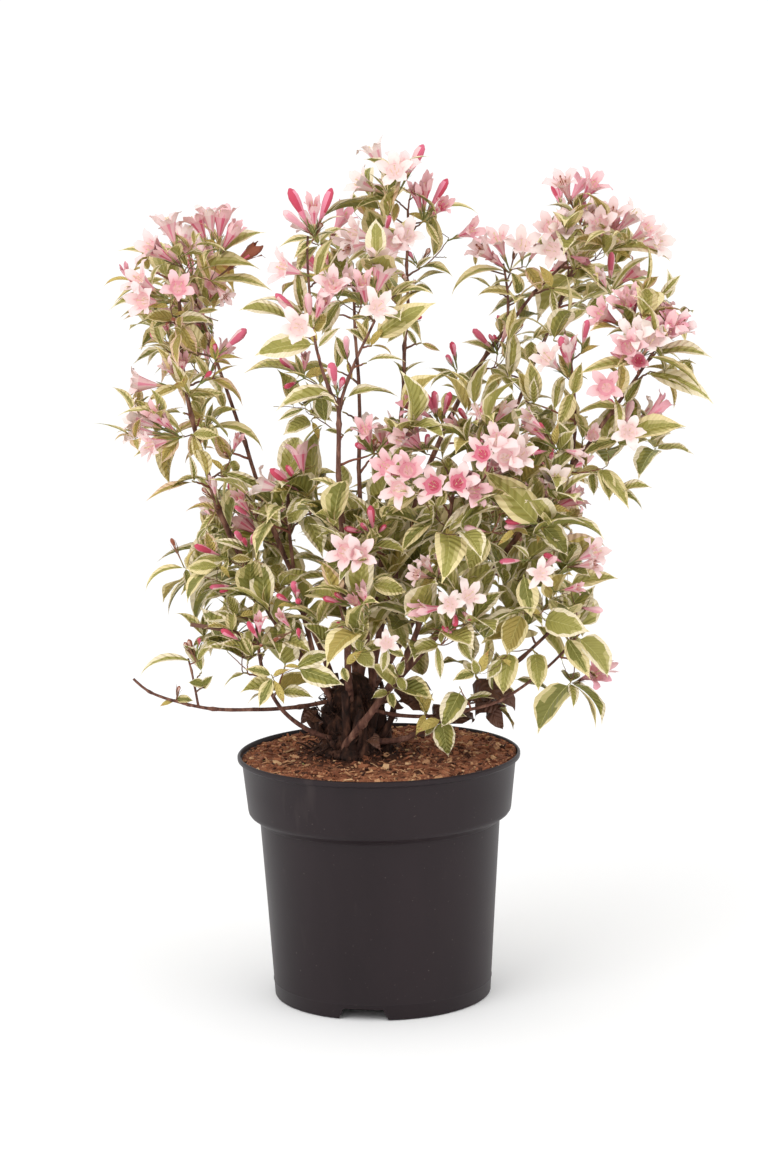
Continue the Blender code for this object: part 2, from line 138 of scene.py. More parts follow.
def addBump(tree, shader, height, strength, distance):
    bump = addNode(tree, "ShaderNodeBump", Strength=strength, Distance=distance)
    tree.links.new(height, bump.inputs["Height"])
    tree.links.new(bump.outputs["Normal"], shader.inputs["Normal"])
    return bump


def meshFromArrays(name, points, quads, tris, slots, materials, uv=None, uvName=""):
    mesh = bpy.data.meshes.new(name)
    mesh.from_pydata(points.tolist(), [], quads.tolist() + tris.tolist())
    for material in materials:
        mesh.materials.append(material)
    mesh.polygons.foreach_set("material_index", slots.astype(np.int32))
    mesh.polygons.foreach_set("use_smooth", np.ones(len(mesh.polygons), bool))
    if uv is not None:
        corners = np.empty(len(mesh.loops), np.int32)
        mesh.loops.foreach_get("vertex_index", corners)
        layer = mesh.uv_layers.new(name=uvName)
        layer.data.foreach_set("uv", uv[corners].astype(np.float32).ravel())
    mesh.update()
    obj = bpy.data.objects.new(name, mesh)
    bpy.context.scene.collection.objects.link(obj)
    return obj


def shapeOf(points, faces, slots, uv):
    # one small shape that is copied many times: corners, faces of four and three, a slot for each
    four = [n for n, face in enumerate(faces) if len(face) == 4]
    three = [n for n, face in enumerate(faces) if len(face) == 3]
    return {
        "points": np.array(points, float),
        "quads": np.array([faces[n] for n in four], int).reshape(-1, 4),
        "tris": np.array([faces[n] for n in three], int).reshape(-1, 3),
        "quadSlots": np.array([slots[n] for n in four], int),
        "triSlots": np.array([slots[n] for n in three], int),
        "uv": np.array(uv, float),
    }


def joinCopies(name, shapes, placings, tints, materials, uvName):
    # placings: (shape number, turn and size as 3x3, place, tint number); tints: slot to material
    points, quads, tris, quadSlots, triSlots, maps = [], [], [], [], [], []
    start = 0
    for number, turn, place, tint in placings:
        shape = shapes[number]
        points.append(shape["points"] @ np.array(turn).T + np.array(place))
        quads.append(shape["quads"] + start)
        tris.append(shape["tris"] + start)
        deal = np.array(tints[tint])
        quadSlots.append(deal[shape["quadSlots"]])
        triSlots.append(deal[shape["triSlots"]])
        maps.append(shape["uv"])
        start += len(shape["points"])
    slots = np.concatenate(quadSlots + triSlots)
    return meshFromArrays(
        name, np.concatenate(points), np.concatenate(quads), np.concatenate(tris),
        slots, materials, np.concatenate(maps), uvName,
    )


def facing(direction, upper, size=1.0, across=1.0):
    # columns: sideways, along, and the upper side of the shape
    along = Vector(direction).normalized()
    top = Vector(upper) - along * along.dot(Vector(upper))
    if top.length < 1e-4:
        top = along.orthogonal()
    top.normalize()
    side = along.cross(top)
    return np.array([side * size * across, along * size, top * size]).T


def frontDirection(angle, lean):
    # angle: degrees from upright, clockwise seen from the front; lean: degrees towards the front
    flat = cos(radians(lean))
    return Vector((sin(radians(angle)) * flat, -sin(radians(lean)), cos(radians(angle)) * flat))


def anyWay(rng):
    return Vector((rng.uniform(-1, 1), rng.uniform(-1, 1), rng.uniform(-1, 1)))


def pathLength(path):
    return sum((path[n + 1] - path[n]).length for n in range(len(path) - 1))


def ringFaces(first, second, count):
    # faces of four between two rings, by the number of each ring's first corner
    return [(first + n, first + (n + 1) % count, second + (n + 1) % count, second + n) for n in range(count)]


def finishPiece(obj, slot, *nodes):
    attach(obj, "root")
    if nodes:
        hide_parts(*nodes)
    return obj


# a round piece is drawn up from a disc: each station is extruded, lifted and resized

def turnedUp(name, stations, sides):
    bpy.ops.object.select_all(action="DESELECT")
    radius, height = stations[0]
    bpy.ops.mesh.primitive_circle_add(
        vertices=sides, radius=radius, fill_type="NGON", location=(0, 0, height),
    )
    obj = bpy.context.object
    obj.name = name
    bpy.ops.object.transform_apply(location=True, rotation=True, scale=True)
    bpy.ops.object.mode_set(mode="EDIT")
    bpy.ops.mesh.select_all(action="SELECT")
    for wider, higher in stations[1:]:
        bpy.ops.mesh.extrude_region_move(TRANSFORM_OT_translate={"value": (0, 0, higher - height)})
        grow = wider / radius
        bpy.ops.transform.resize(value=(grow, grow, 1), center_override=(0, 0, higher))
        radius, height = wider, higher
    bpy.ops.mesh.select_all(action="SELECT")
    bpy.ops.mesh.normals_make_consistent(inside=False)
    bpy.ops.object.mode_set(mode="OBJECT")
    return obj


def selectOnly(obj):
    bpy.ops.object.select_all(action="DESELECT")
    bpy.context.view_layer.objects.active = obj
    obj.select_set(True)


def applyModifier(obj, kind, **settings):
    modifier = obj.modifiers.new(kind.title(), kind)
    for key, value in settings.items():
        setattr(modifier, key, value)
    selectOnly(obj)
    bpy.ops.object.modifier_apply(modifier=modifier.name)


# the nursery pot

pot = {
    "height": 0.200,
    "rimRadius": 0.115,
    "lipHeight": 0.004,
    "lipOverhang": 0.0035,
    "lipThickness": 0.0023,
    "collarHeight": 0.050,
    "collarTaper": 0.0042,
    "collarStep": 0.0095,
    "collarRound": 0.005,
    "collarSink": 0.4,  # share of that rounding below the collar's foot
    "collarSteps": 5,
    "baseRadius": 0.0885,
    "wall": 0.0025,
    "footHeight": 0.009,
    "floorThickness": 0.003,
    "footDisc": 0.042,
    "mouldLine": 0.0125,  # height of the faint ring above the foot
    "mouldLineStep": 0.0004,
    "mouldLineWidth": 0.0012,
    "middleRing": 0.075,
    "rimFall": 0.0002,
    "rimTuck": 0.0006,
    "sides": 144,
    "softEdge": 0.0007,
    "notches": 3,
    "firstNotch": -100.5,  # degrees
    "notchTop": 0.032,
    "notchBottom": 0.041,
    "notchFlare": 1.1,
    "cutterDepth": 0.030,
    "cutterLift": 0.002,
}


def bodyRadius(height):
    top = pot["rimRadius"] - pot["lipOverhang"] - pot["collarTaper"] - pot["collarStep"]
    return pot["baseRadius"] + (top - pot["baseRadius"]) * height / (pot["height"] - pot["collarHeight"])


def potStations():
    lipBottom = pot["height"] - pot["lipHeight"]
    collarBottom = pot["height"] - pot["collarHeight"]
    collarTop = pot["rimRadius"] - pot["lipOverhang"]
    collar = collarTop - pot["collarTaper"]
    skirt = pot["baseRadius"] - pot["wall"]
    body = bodyRadius(collarBottom)
    line, step, width = pot["mouldLine"], pot["mouldLineStep"], pot["mouldLineWidth"]
    stations = [
        (pot["footDisc"], 0.0),
        (pot["footDisc"] + pot["wall"], pot["footHeight"]),
        (skirt, pot["footHeight"]),
        (skirt, 0.0),
        (pot["baseRadius"], 0.0),
        (bodyRadius(line - width), line - width),
        (bodyRadius(line) + step, line),
        (bodyRadius(line + width), line + width),
        (bodyRadius(pot["middleRing"]), pot["middleRing"]),
        (body, collarBottom - pot["collarRound"]),
    ]
    steps, sink = pot["collarSteps"], pot["collarSink"]
    for part in range(1, steps + 1):  # the rounded underside of the collar
        turn = radians(90 * part / steps)
        rise = pot["collarRound"] * (1 + sink) * (1 - cos(turn))
        stations.append((body + (collar - body) * sin(turn), collarBottom - pot["collarRound"] * sink + rise))
    stations += [
        ((collar + collarTop) / 2, pot["height"] - pot["collarHeight"] / 2),
        (collarTop, lipBottom - pot["lipOverhang"] / 2),
        (pot["rimRadius"], lipBottom),
        (pot["rimRadius"], pot["height"] - pot["lipHeight"] / 3),
        (pot["rimRadius"] - pot["lipHeight"] / 4, pot["height"]),
        (pot["rimRadius"] - pot["lipThickness"], pot["height"] - pot["rimFall"]),
        (pot["rimRadius"] - pot["lipThickness"] - pot["rimTuck"], lipBottom),
        (collarTop - pot["wall"], lipBottom - pot["lipOverhang"]),
        (collar - 2 * pot["wall"], collarBottom + pot["collarRound"]),
        (body - pot["wall"], collarBottom - pot["collarRound"]),
        (skirt, pot["footHeight"] + pot["floorThickness"]),
    ]
    return stations


def notchCutter(bearing):
    # a block through the skirt, wider below
    bpy.ops.object.select_all(action="DESELECT")
    lift = pot["cutterLift"]
    bpy.ops.mesh.primitive_cube_add(size=1, location=(pot["baseRadius"], 0, lift))
    cutter = bpy.context.object
    cutter.scale = (pot["cutterDepth"], pot["notchTop"], (pot["footHeight"] - lift) * 2)
    bpy.ops.object.transform_apply(location=True, rotation=True, scale=True)
    for vert in cutter.data.vertices:
        if vert.co.z < 0:
            vert.co.y *= pot["notchBottom"] / pot["notchTop"] * pot["notchFlare"]
    cutter.rotation_euler.z = radians(bearing)
    bpy.ops.object.transform_apply(location=True, rotation=True, scale=True)
    return cutter


def potPlastic():
    material, tree, shader = startMaterial("potPlastic", srgb(36, 27, 30), 0.42, 0.20)
    cloud = objectNoise(tree, 14, 5, (1, 1, 0.35))
    base = rampBetween(tree, cloud, [(0.32, srgb(32, 24, 27)), (0.68, srgb(40, 31, 34))])
    dust = objectNoise(tree, 420, 2)  # pale specks of dry compost
    specks = mapRange(tree, dust, 0.72, 0.80)
    scuff = objectNoise(tree, 55, 3, (1, 1, 0.25))
    rubbed = mapRange(tree, scuff, 0.66, 0.86, toHigh=0.35)
    both = mathNode(tree, "MAXIMUM", specks, rubbed)
    mix = addNode(tree, "ShaderNodeMix", data_type="RGBA")
    tree.links.new(both, mix.inputs["Factor"])
    tree.links.new(base, mix.inputs["A"])
    mix.inputs["B"].default_value = srgb(78, 68, 66)
    tree.links.new(mix.outputs["Result"], shader.inputs["Base Color"])
    roughBetween(tree, shader, cloud, 0.36, 0.50)
    addBump(tree, shader, objectNoise(tree, 900, 2), 0.12, 0.0004)
    return material


def makePot():
    obj = turnedUp("nurseryPot", potStations(), pot["sides"])
    applyModifier(
        obj, "BEVEL", width=pot["softEdge"], segments=2, limit_method="ANGLE", angle_limit=radians(38),
    )
    for number in range(pot["notches"]):
        cutter = notchCutter(pot["firstNotch"] + number * 360 / pot["notches"])
        applyModifier(obj, "BOOLEAN", operation="DIFFERENCE", solver="EXACT", object=cutter)
        bpy.data.objects.remove(cutter, do_unlink=True)
    selectOnly(obj)
    bpy.ops.object.shade_smooth_by_angle(angle=radians(30))
    obj.data.materials.append(potPlastic())
    return finishPiece(obj, "pot_plastic", "pot")


makePot()
print("pot turned")


# the compost: an uneven top, then bark chips, fibres and crumbs lying on it

soil = {
    "belowRim": 0.0034,
    "mound": 0.004,
    "leanRight": 0.012,
    "roughness": 0.0012,
    "clods": 0.0014,
    "grit": 0.0008,
    "wallGap": 0.0007,
    "collarGap": 0.0004,
    "rimGap": 0.0008,
    "skirt": 0.012,  # how far it reaches below the collar's foot, and stops short of the rim
    "bank": 0.006,
    "bankSlope": 0.0045,
    "rings": 44,
    "sides": 176,
    "chips": 1500,
    "crumbs": 900,
    "fibres": 460,
    "chipShapes": 6,
    "fibreShapes": 4,
    "crumbShapes": 3,
    "chipLength": (0.0017, 0.0080),  # the shortest, and how much more the longest
    "chipThickness": (0.0005, 0.0014),
    "crumbSize": (0.0009, 0.0024),
    "fibreLength": (0.004, 0.013),
    "shadedChipColours": (8, 2, 0.5, 60, 24, 0),  # how often each chip colour falls, in the painted shade about the stems and away from it
    "openChipColours": (36, 20, 8, 14, 26, 0.6),
    # centre and reach of the painted shade under the foliage
    "shadeCentre": (-0.018, -0.004),
    "shadeReach": 0.050,
    "seed": 12,
}


def soilHeight(x, y):
    reach = sqrt(x * x + y * y) / pot["rimRadius"]
    mound = soil["mound"] * max(0.0, 1 - reach * reach)
    level = pot["height"] - soil["belowRim"] + mound + soil["leanRight"] * x
    return level + soil["roughness"] * noise.noise(Vector((x, y, 0)) * 60)


def soilTop(x, y):
    clods = noise.noise(Vector((x, y, 0.3)) * 150) * soil["clods"]
    grit = noise.noise(Vector((x, y, 0.7)) * 420) * soil["grit"]
    return soilHeight(x, y) + clods + grit


def compostMaterial():
    material, tree, shader = startMaterial("compost", srgb(118, 68, 44), 0.95, 0.2)
    patches = objectNoise(tree, 160, 6)
    colour = rampBetween(tree, patches, [
        (0.30, srgb(66, 40, 30)), (0.45, srgb(122, 74, 52)),
        (0.58, srgb(156, 102, 74)), (0.74, srgb(186, 134, 100)),
    ])
    # painted shade under the foliage: darker about the foot of the stems
    place = addNode(tree, "ShaderNodeTexCoord")
    away = addNode(tree, "ShaderNodeVectorMath", operation="DISTANCE")
    away.inputs[1].default_value = (*soil["shadeCentre"], pot["height"])
    tree.links.new(place.outputs["Object"], away.inputs[0])
    outOfShade = mapRange(tree, away.outputs["Value"], soil["shadeReach"] * 0.6, soil["shadeReach"] * 1.3)
    mix = addNode(tree, "ShaderNodeMix", data_type="RGBA")
    mix.inputs["A"].default_value = srgb(50, 31, 24)
    tree.links.new(outOfShade, mix.inputs["Factor"])
    tree.links.new(colour, mix.inputs["B"])
    tree.links.new(mix.outputs["Result"], shader.inputs["Base Color"])
    addBump(tree, shader, objectNoise(tree, 700, 5), 0.8, 0.0012)
    roughBetween(tree, shader, patches, 0.85, 1.0)
    return material


def plainGrained(name, colour, roughness, grain=400, strength=0.3, depth=0.0005, specular=0.35):
    # a plain colour whose surface is worked by noise in its bump and roughness
    material, tree, shader = startMaterial(name, colour, roughness, specular)
    texture = objectNoise(tree, grain, 3)
    addBump(tree, shader, texture, strength, depth)
    roughBetween(tree, shader, texture, roughness - 0.08, min(1.0, roughness + 0.08))
    return material


def chipShape(rng):
    # a flat splinter of bark with uneven corners
    points = []
    for z in (-0.5, 0.5):
        for x, y in ((-0.5, -0.32), (0.1, -0.5), (0.52, -0.1), (0.35, 0.42), (-0.4, 0.36)):
            stray = rng.uniform(-0.1, 0.1), rng.uniform(-0.1, 0.1), rng.uniform(-0.2, 0.2)
            points.append((x + stray[0], y + stray[1], z + stray[2]))
    faces = [(0, 1, 2), (0, 2, 4), (2, 3, 4), (5, 7, 6), (5, 9, 7), (7, 9, 8)]
    faces = [face[::-1] for face in faces] + ringFaces(0, 5, 5)
    return shapeOf(points, faces, [0] * len(faces), [(p[0] + 0.5, p[1] + 0.5) for p in points])


def fibreShape(rng):
    # a bent three-sided strand, one unit long
    points = []
    for step in range(5):
        t = step / 4 - 0.5
        mid = Vector((t, 0.16 * sin(t * 5 + rng.uniform(0, 2)), 0.10 * cos(t * 4) - 0.05))
        for corner in range(3):
            turn = 2 * pi * corner / 3
            points.append(mid + Vector((0, cos(turn), sin(turn))) * 0.03 * (1.2 - abs(t)))
    faces = [face[::-1] for ring in range(4) for face in ringFaces(ring * 3, ring * 3 + 3, 3)]
    faces += [(0, 1, 2), (14, 13, 12)]
    return shapeOf(points, faces, [0] * len(faces), [(p.x + 0.5, 0.5) for p in points])


def crumbShape(rng):
    # six points, one each way along the three axes
    ends = (1, 0, 0), (-1, 0, 0), (0, 1, 0), (0, -1, 0), (0, 0, 1), (0, 0, -1)
    points = [Vector(end) * rng.uniform(0.38, 0.6) for end in ends]
    faces = [(0, 2, 4), (2, 1, 4), (1, 3, 4), (3, 0, 4), (2, 0, 5), (1, 2, 5), (3, 1, 5), (0, 3, 5)]
    return shapeOf(points, faces, [0] * 8, [(0.5, 0.5)] * 6)


def makeSoil():
    inside = pot["wall"] + soil["wallGap"]
    top = pot["rimRadius"] - pot["lipOverhang"] - inside - soil["collarGap"]
    collarBottom = pot["height"] - pot["collarHeight"]
    edge = pot["rimRadius"] - pot["lipThickness"] - soil["rimGap"]
    skirt, bank = soil["skirt"], soil["bank"]
    stations = [
        (bodyRadius(collarBottom) - inside, collarBottom - skirt),
        (bodyRadius(collarBottom) - inside, collarBottom - bank),
        (top - soil["bankSlope"], collarBottom + bank),
        (top - soil["rimGap"], pot["height"] - skirt),
        (edge, pot["height"] - bank),
    ]
    for ring in range(1, soil["rings"]):
        stations.append((edge * (1 - ring / soil["rings"]), pot["height"] - bank))
    obj = turnedUp("compost", stations, soil["sides"])
    for vert in obj.data.vertices:
        if vert.co.z > pot["height"] - bank - 0.0005:
            vert.co.z = soilTop(vert.co.x, vert.co.y)
    obj.data.shade_smooth()
    obj.data.materials.append(compostMaterial())
    finishPiece(obj, "compost", "soil")

    rng = Random(soil["seed"])
    shapes = [chipShape(rng) for _ in range(soil["chipShapes"])]
    shapes += [fibreShape(rng) for _ in range(soil["fibreShapes"])]
    shapes += [crumbShape(rng) for _ in range(soil["crumbShapes"])]
    colours = {
        "chipRed": (164, 106, 76), "chipTan": (194, 146, 108), "chipPale": (212, 172, 130),
        "chipDark": (70, 42, 32), "chipBrown": (130, 80, 58), "mossBit": (150, 156, 96),
    }
    materials = []
    for name, colour in colours.items():
        materials.append(plainGrained(name, srgb(*colour), 0.85, 900, 0.6, 0.0006, 0.2))
    placings = []
    radius = edge - 0.001
    for number in range(soil["chips"] + soil["crumbs"] + soil["fibres"]):
        reach = radius * sqrt(rng.random())
        angle = rng.uniform(0, 2 * pi)
        x, y = reach * cos(angle), reach * sin(angle)
        turn = Matrix.Rotation(rng.uniform(0, 2 * pi), 3, "Z")
        tilt = Matrix.Rotation(rng.gauss(0, 0.35), 3, "X") @ Matrix.Rotation(rng.gauss(0, 0.35), 3, "Y")
        if number < soil["chips"]:
            shortest, more = soil["chipLength"]
            length = shortest + more * rng.random() ** 2.8
            size = Matrix.Diagonal((
                length, length * rng.uniform(0.35, 0.8), rng.uniform(*soil["chipThickness"]),
            ))
            shape = rng.randrange(soil["chipShapes"])
            lift, long = rng.uniform(0.0, 0.0009), length
        elif number < soil["chips"] + soil["crumbs"]:
            bit = rng.uniform(*soil["crumbSize"])
            size = Matrix.Diagonal((bit, bit, bit))
            shape = soil["chipShapes"] + soil["fibreShapes"] + rng.randrange(soil["crumbShapes"])
            lift, long = 0.0003, bit
        else:
            strand = rng.uniform(*soil["fibreLength"])
            size = Matrix.Diagonal((strand, strand, strand * 0.7))
            shape = soil["chipShapes"] + rng.randrange(soil["fibreShapes"])
            lift, long = 0.0008, strand
        if reach > radius - long * 0.5:  # nothing pokes through the pot
            x, y = x * (radius - long * 0.5) / reach, y * (radius - long * 0.5) / reach
        # chips in the painted shade about the stems are dealt darker colours
        shadeOffset = Vector((x, y)) - Vector(soil["shadeCentre"])
        if shadeOffset.length < soil["shadeReach"] * rng.uniform(0.6, 1.2):
            colour = rng.choices(range(6), weights=soil["shadedChipColours"])[0]
        else:
            colour = rng.choices(range(6), weights=soil["openChipColours"])[0]
        placings.append((shape, turn @ tilt @ size, (x, y, soilTop(x, y) + lift), colour))
    tints = [[n] for n in range(len(materials))]
    litter = joinCopies("barkChips", shapes, placings, tints, materials, "chipMap")
    litter.data.polygons.foreach_set("use_smooth", np.zeros(len(litter.data.polygons), bool))
    finishPiece(litter, "compost")


makeSoil()
print("compost laid")


# the woody frame: a knobbly root crown, the stems and the side boughs, with the bark's relief

limbs = {
    # foot, bend, tip, foot radius, tip radius
    "stem_left": ((-0.032, 0.002, 0.240), (-0.125, 0.006, 0.400), (-0.153, 0.008, 0.580), 0.0036, 0.0013),
    "stem_front": ((-0.022, -0.014, 0.245), (-0.026, -0.062, 0.360), (-0.026, -0.080, 0.497), 0.0032, 0.0017),
    "stem_top": ((-0.016, 0.007, 0.250), (0.019, 0.030, 0.440), (0.031, 0.042, 0.635), 0.0031, 0.0010),
    "stem_right": ((-0.006, 0.002, 0.242), (0.052, 0.035, 0.445), (0.159, 0.060, 0.590), 0.0034, 0.0011),
    "stem_right_outer": (
        (-0.006, -0.009, 0.235), (0.135, -0.030, 0.405), (0.222, -0.035, 0.525), 0.0034, 0.0011,
    ),
    "stem_back_left": (
        (-0.030, 0.014, 0.240), (-0.085, 0.065, 0.380), (-0.148, 0.105, 0.570), 0.0030, 0.0011,
    ),
    "stem_back": ((-0.019, 0.016, 0.244), (-0.012, 0.080, 0.400), (-0.015, 0.108, 0.590), 0.0030, 0.0011),
    "stem_back_right": ((-0.008, 0.013, 0.242), (0.085, 0.080, 0.400), (0.175, 0.115, 0.600), 0.0032, 0.0011),
    "stem_mid_left": (
        (-0.036, -0.009, 0.240), (-0.062, -0.016, 0.330), (-0.068, -0.020, 0.425), 0.0025, 0.0011,
    ),
    "stem_front_right": (
        (-0.029, -0.024, 0.208), (0.031, -0.066, 0.309), (0.062, -0.085, 0.425), 0.0034, 0.0012,
    ),
    "stem_low_right": (
        (-0.014, -0.018, 0.214), (0.050, -0.032, 0.231), (0.150, -0.040, 0.315), 0.0030, 0.0012,
    ),
    "stem_low_thin": (
        (-0.006, -0.016, 0.238), (0.085, -0.054, 0.247), (0.160, -0.060, 0.305), 0.0017, 0.0010,
    ),
    "stem_low_left": (
        (-0.036, -0.014, 0.214), (-0.084, -0.035, 0.255), (-0.095, -0.040, 0.330), 0.0021, 0.0011,
    ),
    "stem_arching_left": (
        (-0.038, -0.003, 0.243), (-0.135, -0.028, 0.243), (-0.195, -0.035, 0.270), 0.0019, 0.0010,
    ),
}
sideBoughs = {
    # carrier, share of its length, bend, tip, radii
    "bough_front_left": (
        "stem_front", 0.97, (-0.044, -0.066, 0.545), (-0.048, -0.045, 0.620), 0.0015, 0.0009,
    ),
    "bough_front_right": (
        "stem_front", 0.97, (-0.008, -0.070, 0.535), (0.012, -0.055, 0.570), 0.0014, 0.0009,
    ),
    "bough_right_inner": ("stem_right", 0.78, (0.111, 0.052, 0.556), (0.108, 0.058, 0.590), 0.0012, 0.0009),
    "bough_right_mid": (
        "stem_right_outer", 0.60, (0.160, -0.034, 0.480), (0.155, -0.031, 0.530), 0.0013, 0.0009,
    ),
    "shoot_left_wand": (
        "stem_arching_left", 0.56, (-0.147, -0.031, 0.262), (-0.151, -0.031, 0.285), 0.0011, 0.0008,
    ),
}
bark = {
    "sides": 10,
    "stationEvery": 0.0026,
    "nodeEvery": 0.036,  # joints between lengths of growth
    "nodeSwell": 0.42,
    "nodeWidth": 0.0024,
    "ridges": 0.13,
    "kink": 0.0011,
    "seed": 5,
}
crown = {
    "foot": (-0.022, 0.000),
    "lean": (0.004, 0.002),
    "height": 0.066,
    "flare": 0.027,
    "levels": [  # share of the height, and radius
        (0.0, 0.031), (0.06, 0.027), (0.2, 0.0235), (0.5, 0.0215), (0.75, 0.0170),
        (0.92, 0.010), (1.0, 0.003),
    ],
    "stations": 40,
    "sides": 60,
    "oldStems": 30,
    "stubs": 24,
    "roots": 80,
    "hanging": 190,  # fine dead roots and peelings all over the stool
    "seed": 21,
}


def barkMaterial(name, dark, mid, light, grain):
    material, tree, shader = startMaterial(name, mid, 0.85, 0.25)
    flow = objectNoise(tree, grain, 6, (1, 1, 0.30))
    colour = rampBetween(tree, flow, [(0.32, dark), (0.52, mid), (0.72, light)])
    tree.links.new(colour, shader.inputs["Base Color"])
    addBump(tree, shader, objectNoise(tree, grain * 2.5, 4, (1, 1, 0.4)), 0.7, 0.0008)
    roughBetween(tree, shader, flow, 0.75, 0.95)
    return material


barkOld = barkMaterial("barkOld", srgb(70, 44, 38), srgb(112, 76, 64), srgb(156, 116, 98), 260)
barkCrown = barkMaterial("barkCrown", srgb(32, 20, 16), srgb(62, 40, 32), srgb(110, 75, 59), 200)


def tubeAlong(path, radii, sides, swell=None):
    # rings of corners carried along a path; returns corners, faces of four, and the two end rings
    path = np.array(path, float)
    ahead = np.gradient(path, axis=0)
    ahead /= np.linalg.norm(ahead, axis=1)[:, None]
    side = np.cross((0.0, 1.0, 0.05), ahead[0])
    side /= np.linalg.norm(side)
    points = []
    turns = np.arange(sides) * 2 * pi / sides
    for index, centre in enumerate(path):
        side = side - ahead[index] * side.dot(ahead[index])
        side /= np.linalg.norm(side)
        over = np.cross(ahead[index], side)
        out = np.outer(np.cos(turns), side) + np.outer(np.sin(turns), over)
        reach = np.full(sides, radii[index])
        if swell is not None:
            reach = reach * swell(index, turns)
        points.append(centre + out * reach[:, None])
    rows = np.arange(len(path) - 1)[:, None] * sides
    corner = np.arange(sides)
    after = (corner + 1) % sides
    quads = np.stack([rows + corner, rows + after, rows + sides + after, rows + sides + corner], -1)
    return np.concatenate(points), quads.reshape(-1, 4)


def closeEnds(points, quads, sides):
    # a rounded point past each end, fanned to the last ring
    first, last = points[:sides], points[-sides:]
    before, after = first.mean(0), last.mean(0)
    count = len(points)
    points = np.concatenate([points, [before, after]])
    corner = np.arange(sides)
    following = (corner + 1) % sides
    tris = np.concatenate([
        np.stack([following, corner, np.full(sides, count)], -1),
        np.stack([count - sides + corner, count - sides + following, np.full(sides, count + 1)], -1),
    ])
    return points, quads, tris


def joinTubes(tubes):
    # tubes: corners, faces and number of sides; each is closed at its ends
    points, quads, tris, start = [], [], [], 0
    for corners, faces, sides in tubes:
        corners, faces, caps = closeEnds(corners, faces, sides)
        points.append(corners)
        quads.append(faces + start)
        tris.append(caps + start)
        start += len(corners)
    return np.concatenate(points), np.concatenate(quads), np.concatenate(tris)


def bowed(foot, bend, tip, count):
    foot, bend, tip = (np.array(part, float) for part in (foot, bend, tip))
    pull = 2 * bend - (foot + tip) / 2
    t = np.linspace(0, 1, count)[:, None]
    return foot * (1 - t) ** 2 + pull * 2 * t * (1 - t) + tip * t ** 2


def limbRoutes():
    routes = {}
    for name, (foot, bend, tip, thick, thin) in limbs.items():
        routes[name] = (bowed(foot, bend, tip, 61), thick, thin)
    for name, (carrier, share, bend, tip, thick, thin) in sideBoughs.items():
        stations = bowed(*limbs[carrier][:3], 7)
        along = share * 6
        index = min(int(along), 5)
        foot = stations[index] + (stations[index + 1] - stations[index]) * (along - index)
        routes[name] = (bowed(foot, bend, tip, 61), thick, thin)
    return routes


def makeLimb(name, path, thick, thin, number):
    rng = Random(bark["seed"] * 100 + number)
    length = np.linalg.norm(np.diff(path, axis=0), axis=1).sum()
    count = max(12, int(length / bark["stationEvery"]))
    t = np.linspace(0, 1, count)
    source = np.linspace(0, 1, len(path))
    path = np.stack([np.interp(t, source, path[:, axis]) for axis in range(3)], -1)
    every = bark["nodeEvery"]
    joints = np.arange(every * rng.uniform(0.5, 0.9), length, every * rng.uniform(0.85, 1.1))
    kinks = np.array([[rng.uniform(-1, 1) * bark["kink"] for _ in range(3)] for _ in range(len(joints) + 2)])
    knots = np.concatenate([[0], joints, [length]])
    kinks[0] = kinks[-1] = 0
    for axis in range(3):  # each length of growth runs nearly straight between joints
        path[:, axis] += np.interp(t * length, knots, kinks[:, axis])
    radii = thick + (thin - thick) * t ** 0.8
    shift = Vector((number * 3.1, number * 1.7, 0))

    def swell(index, turns):
        here = t[index] * length
        knob = sum(exp(-((here - joint) / bark["nodeWidth"]) ** 2) for joint in joints)
        twist = 0 if len(joints) == 0 else int(np.argmin(abs(joints - here)))
        pair = 0.55 + 0.45 * np.cos(2 * (turns - twist * pi / 2))  # the two buds face each other
        rough = np.array([
            noise.noise(Vector((2.2 * cos(a), 2.2 * sin(a), here * 60)) + shift)
            + 0.5 * noise.noise(Vector((5 * cos(a), 5 * sin(a), here * 260)) + shift) for a in turns
        ])
        return 1 + bark["ridges"] * rough + bark["nodeSwell"] * knob * pair

    points, quads = tubeAlong(path, radii, bark["sides"], swell)
    points, quads, tris = closeEnds(points, quads, bark["sides"])
    slots = np.zeros(len(quads) + len(tris))
    obj = meshFromArrays(name.title().replace("_", ""), points, quads, tris, slots, [barkOld])
    return finishPiece(obj, "bark", name)


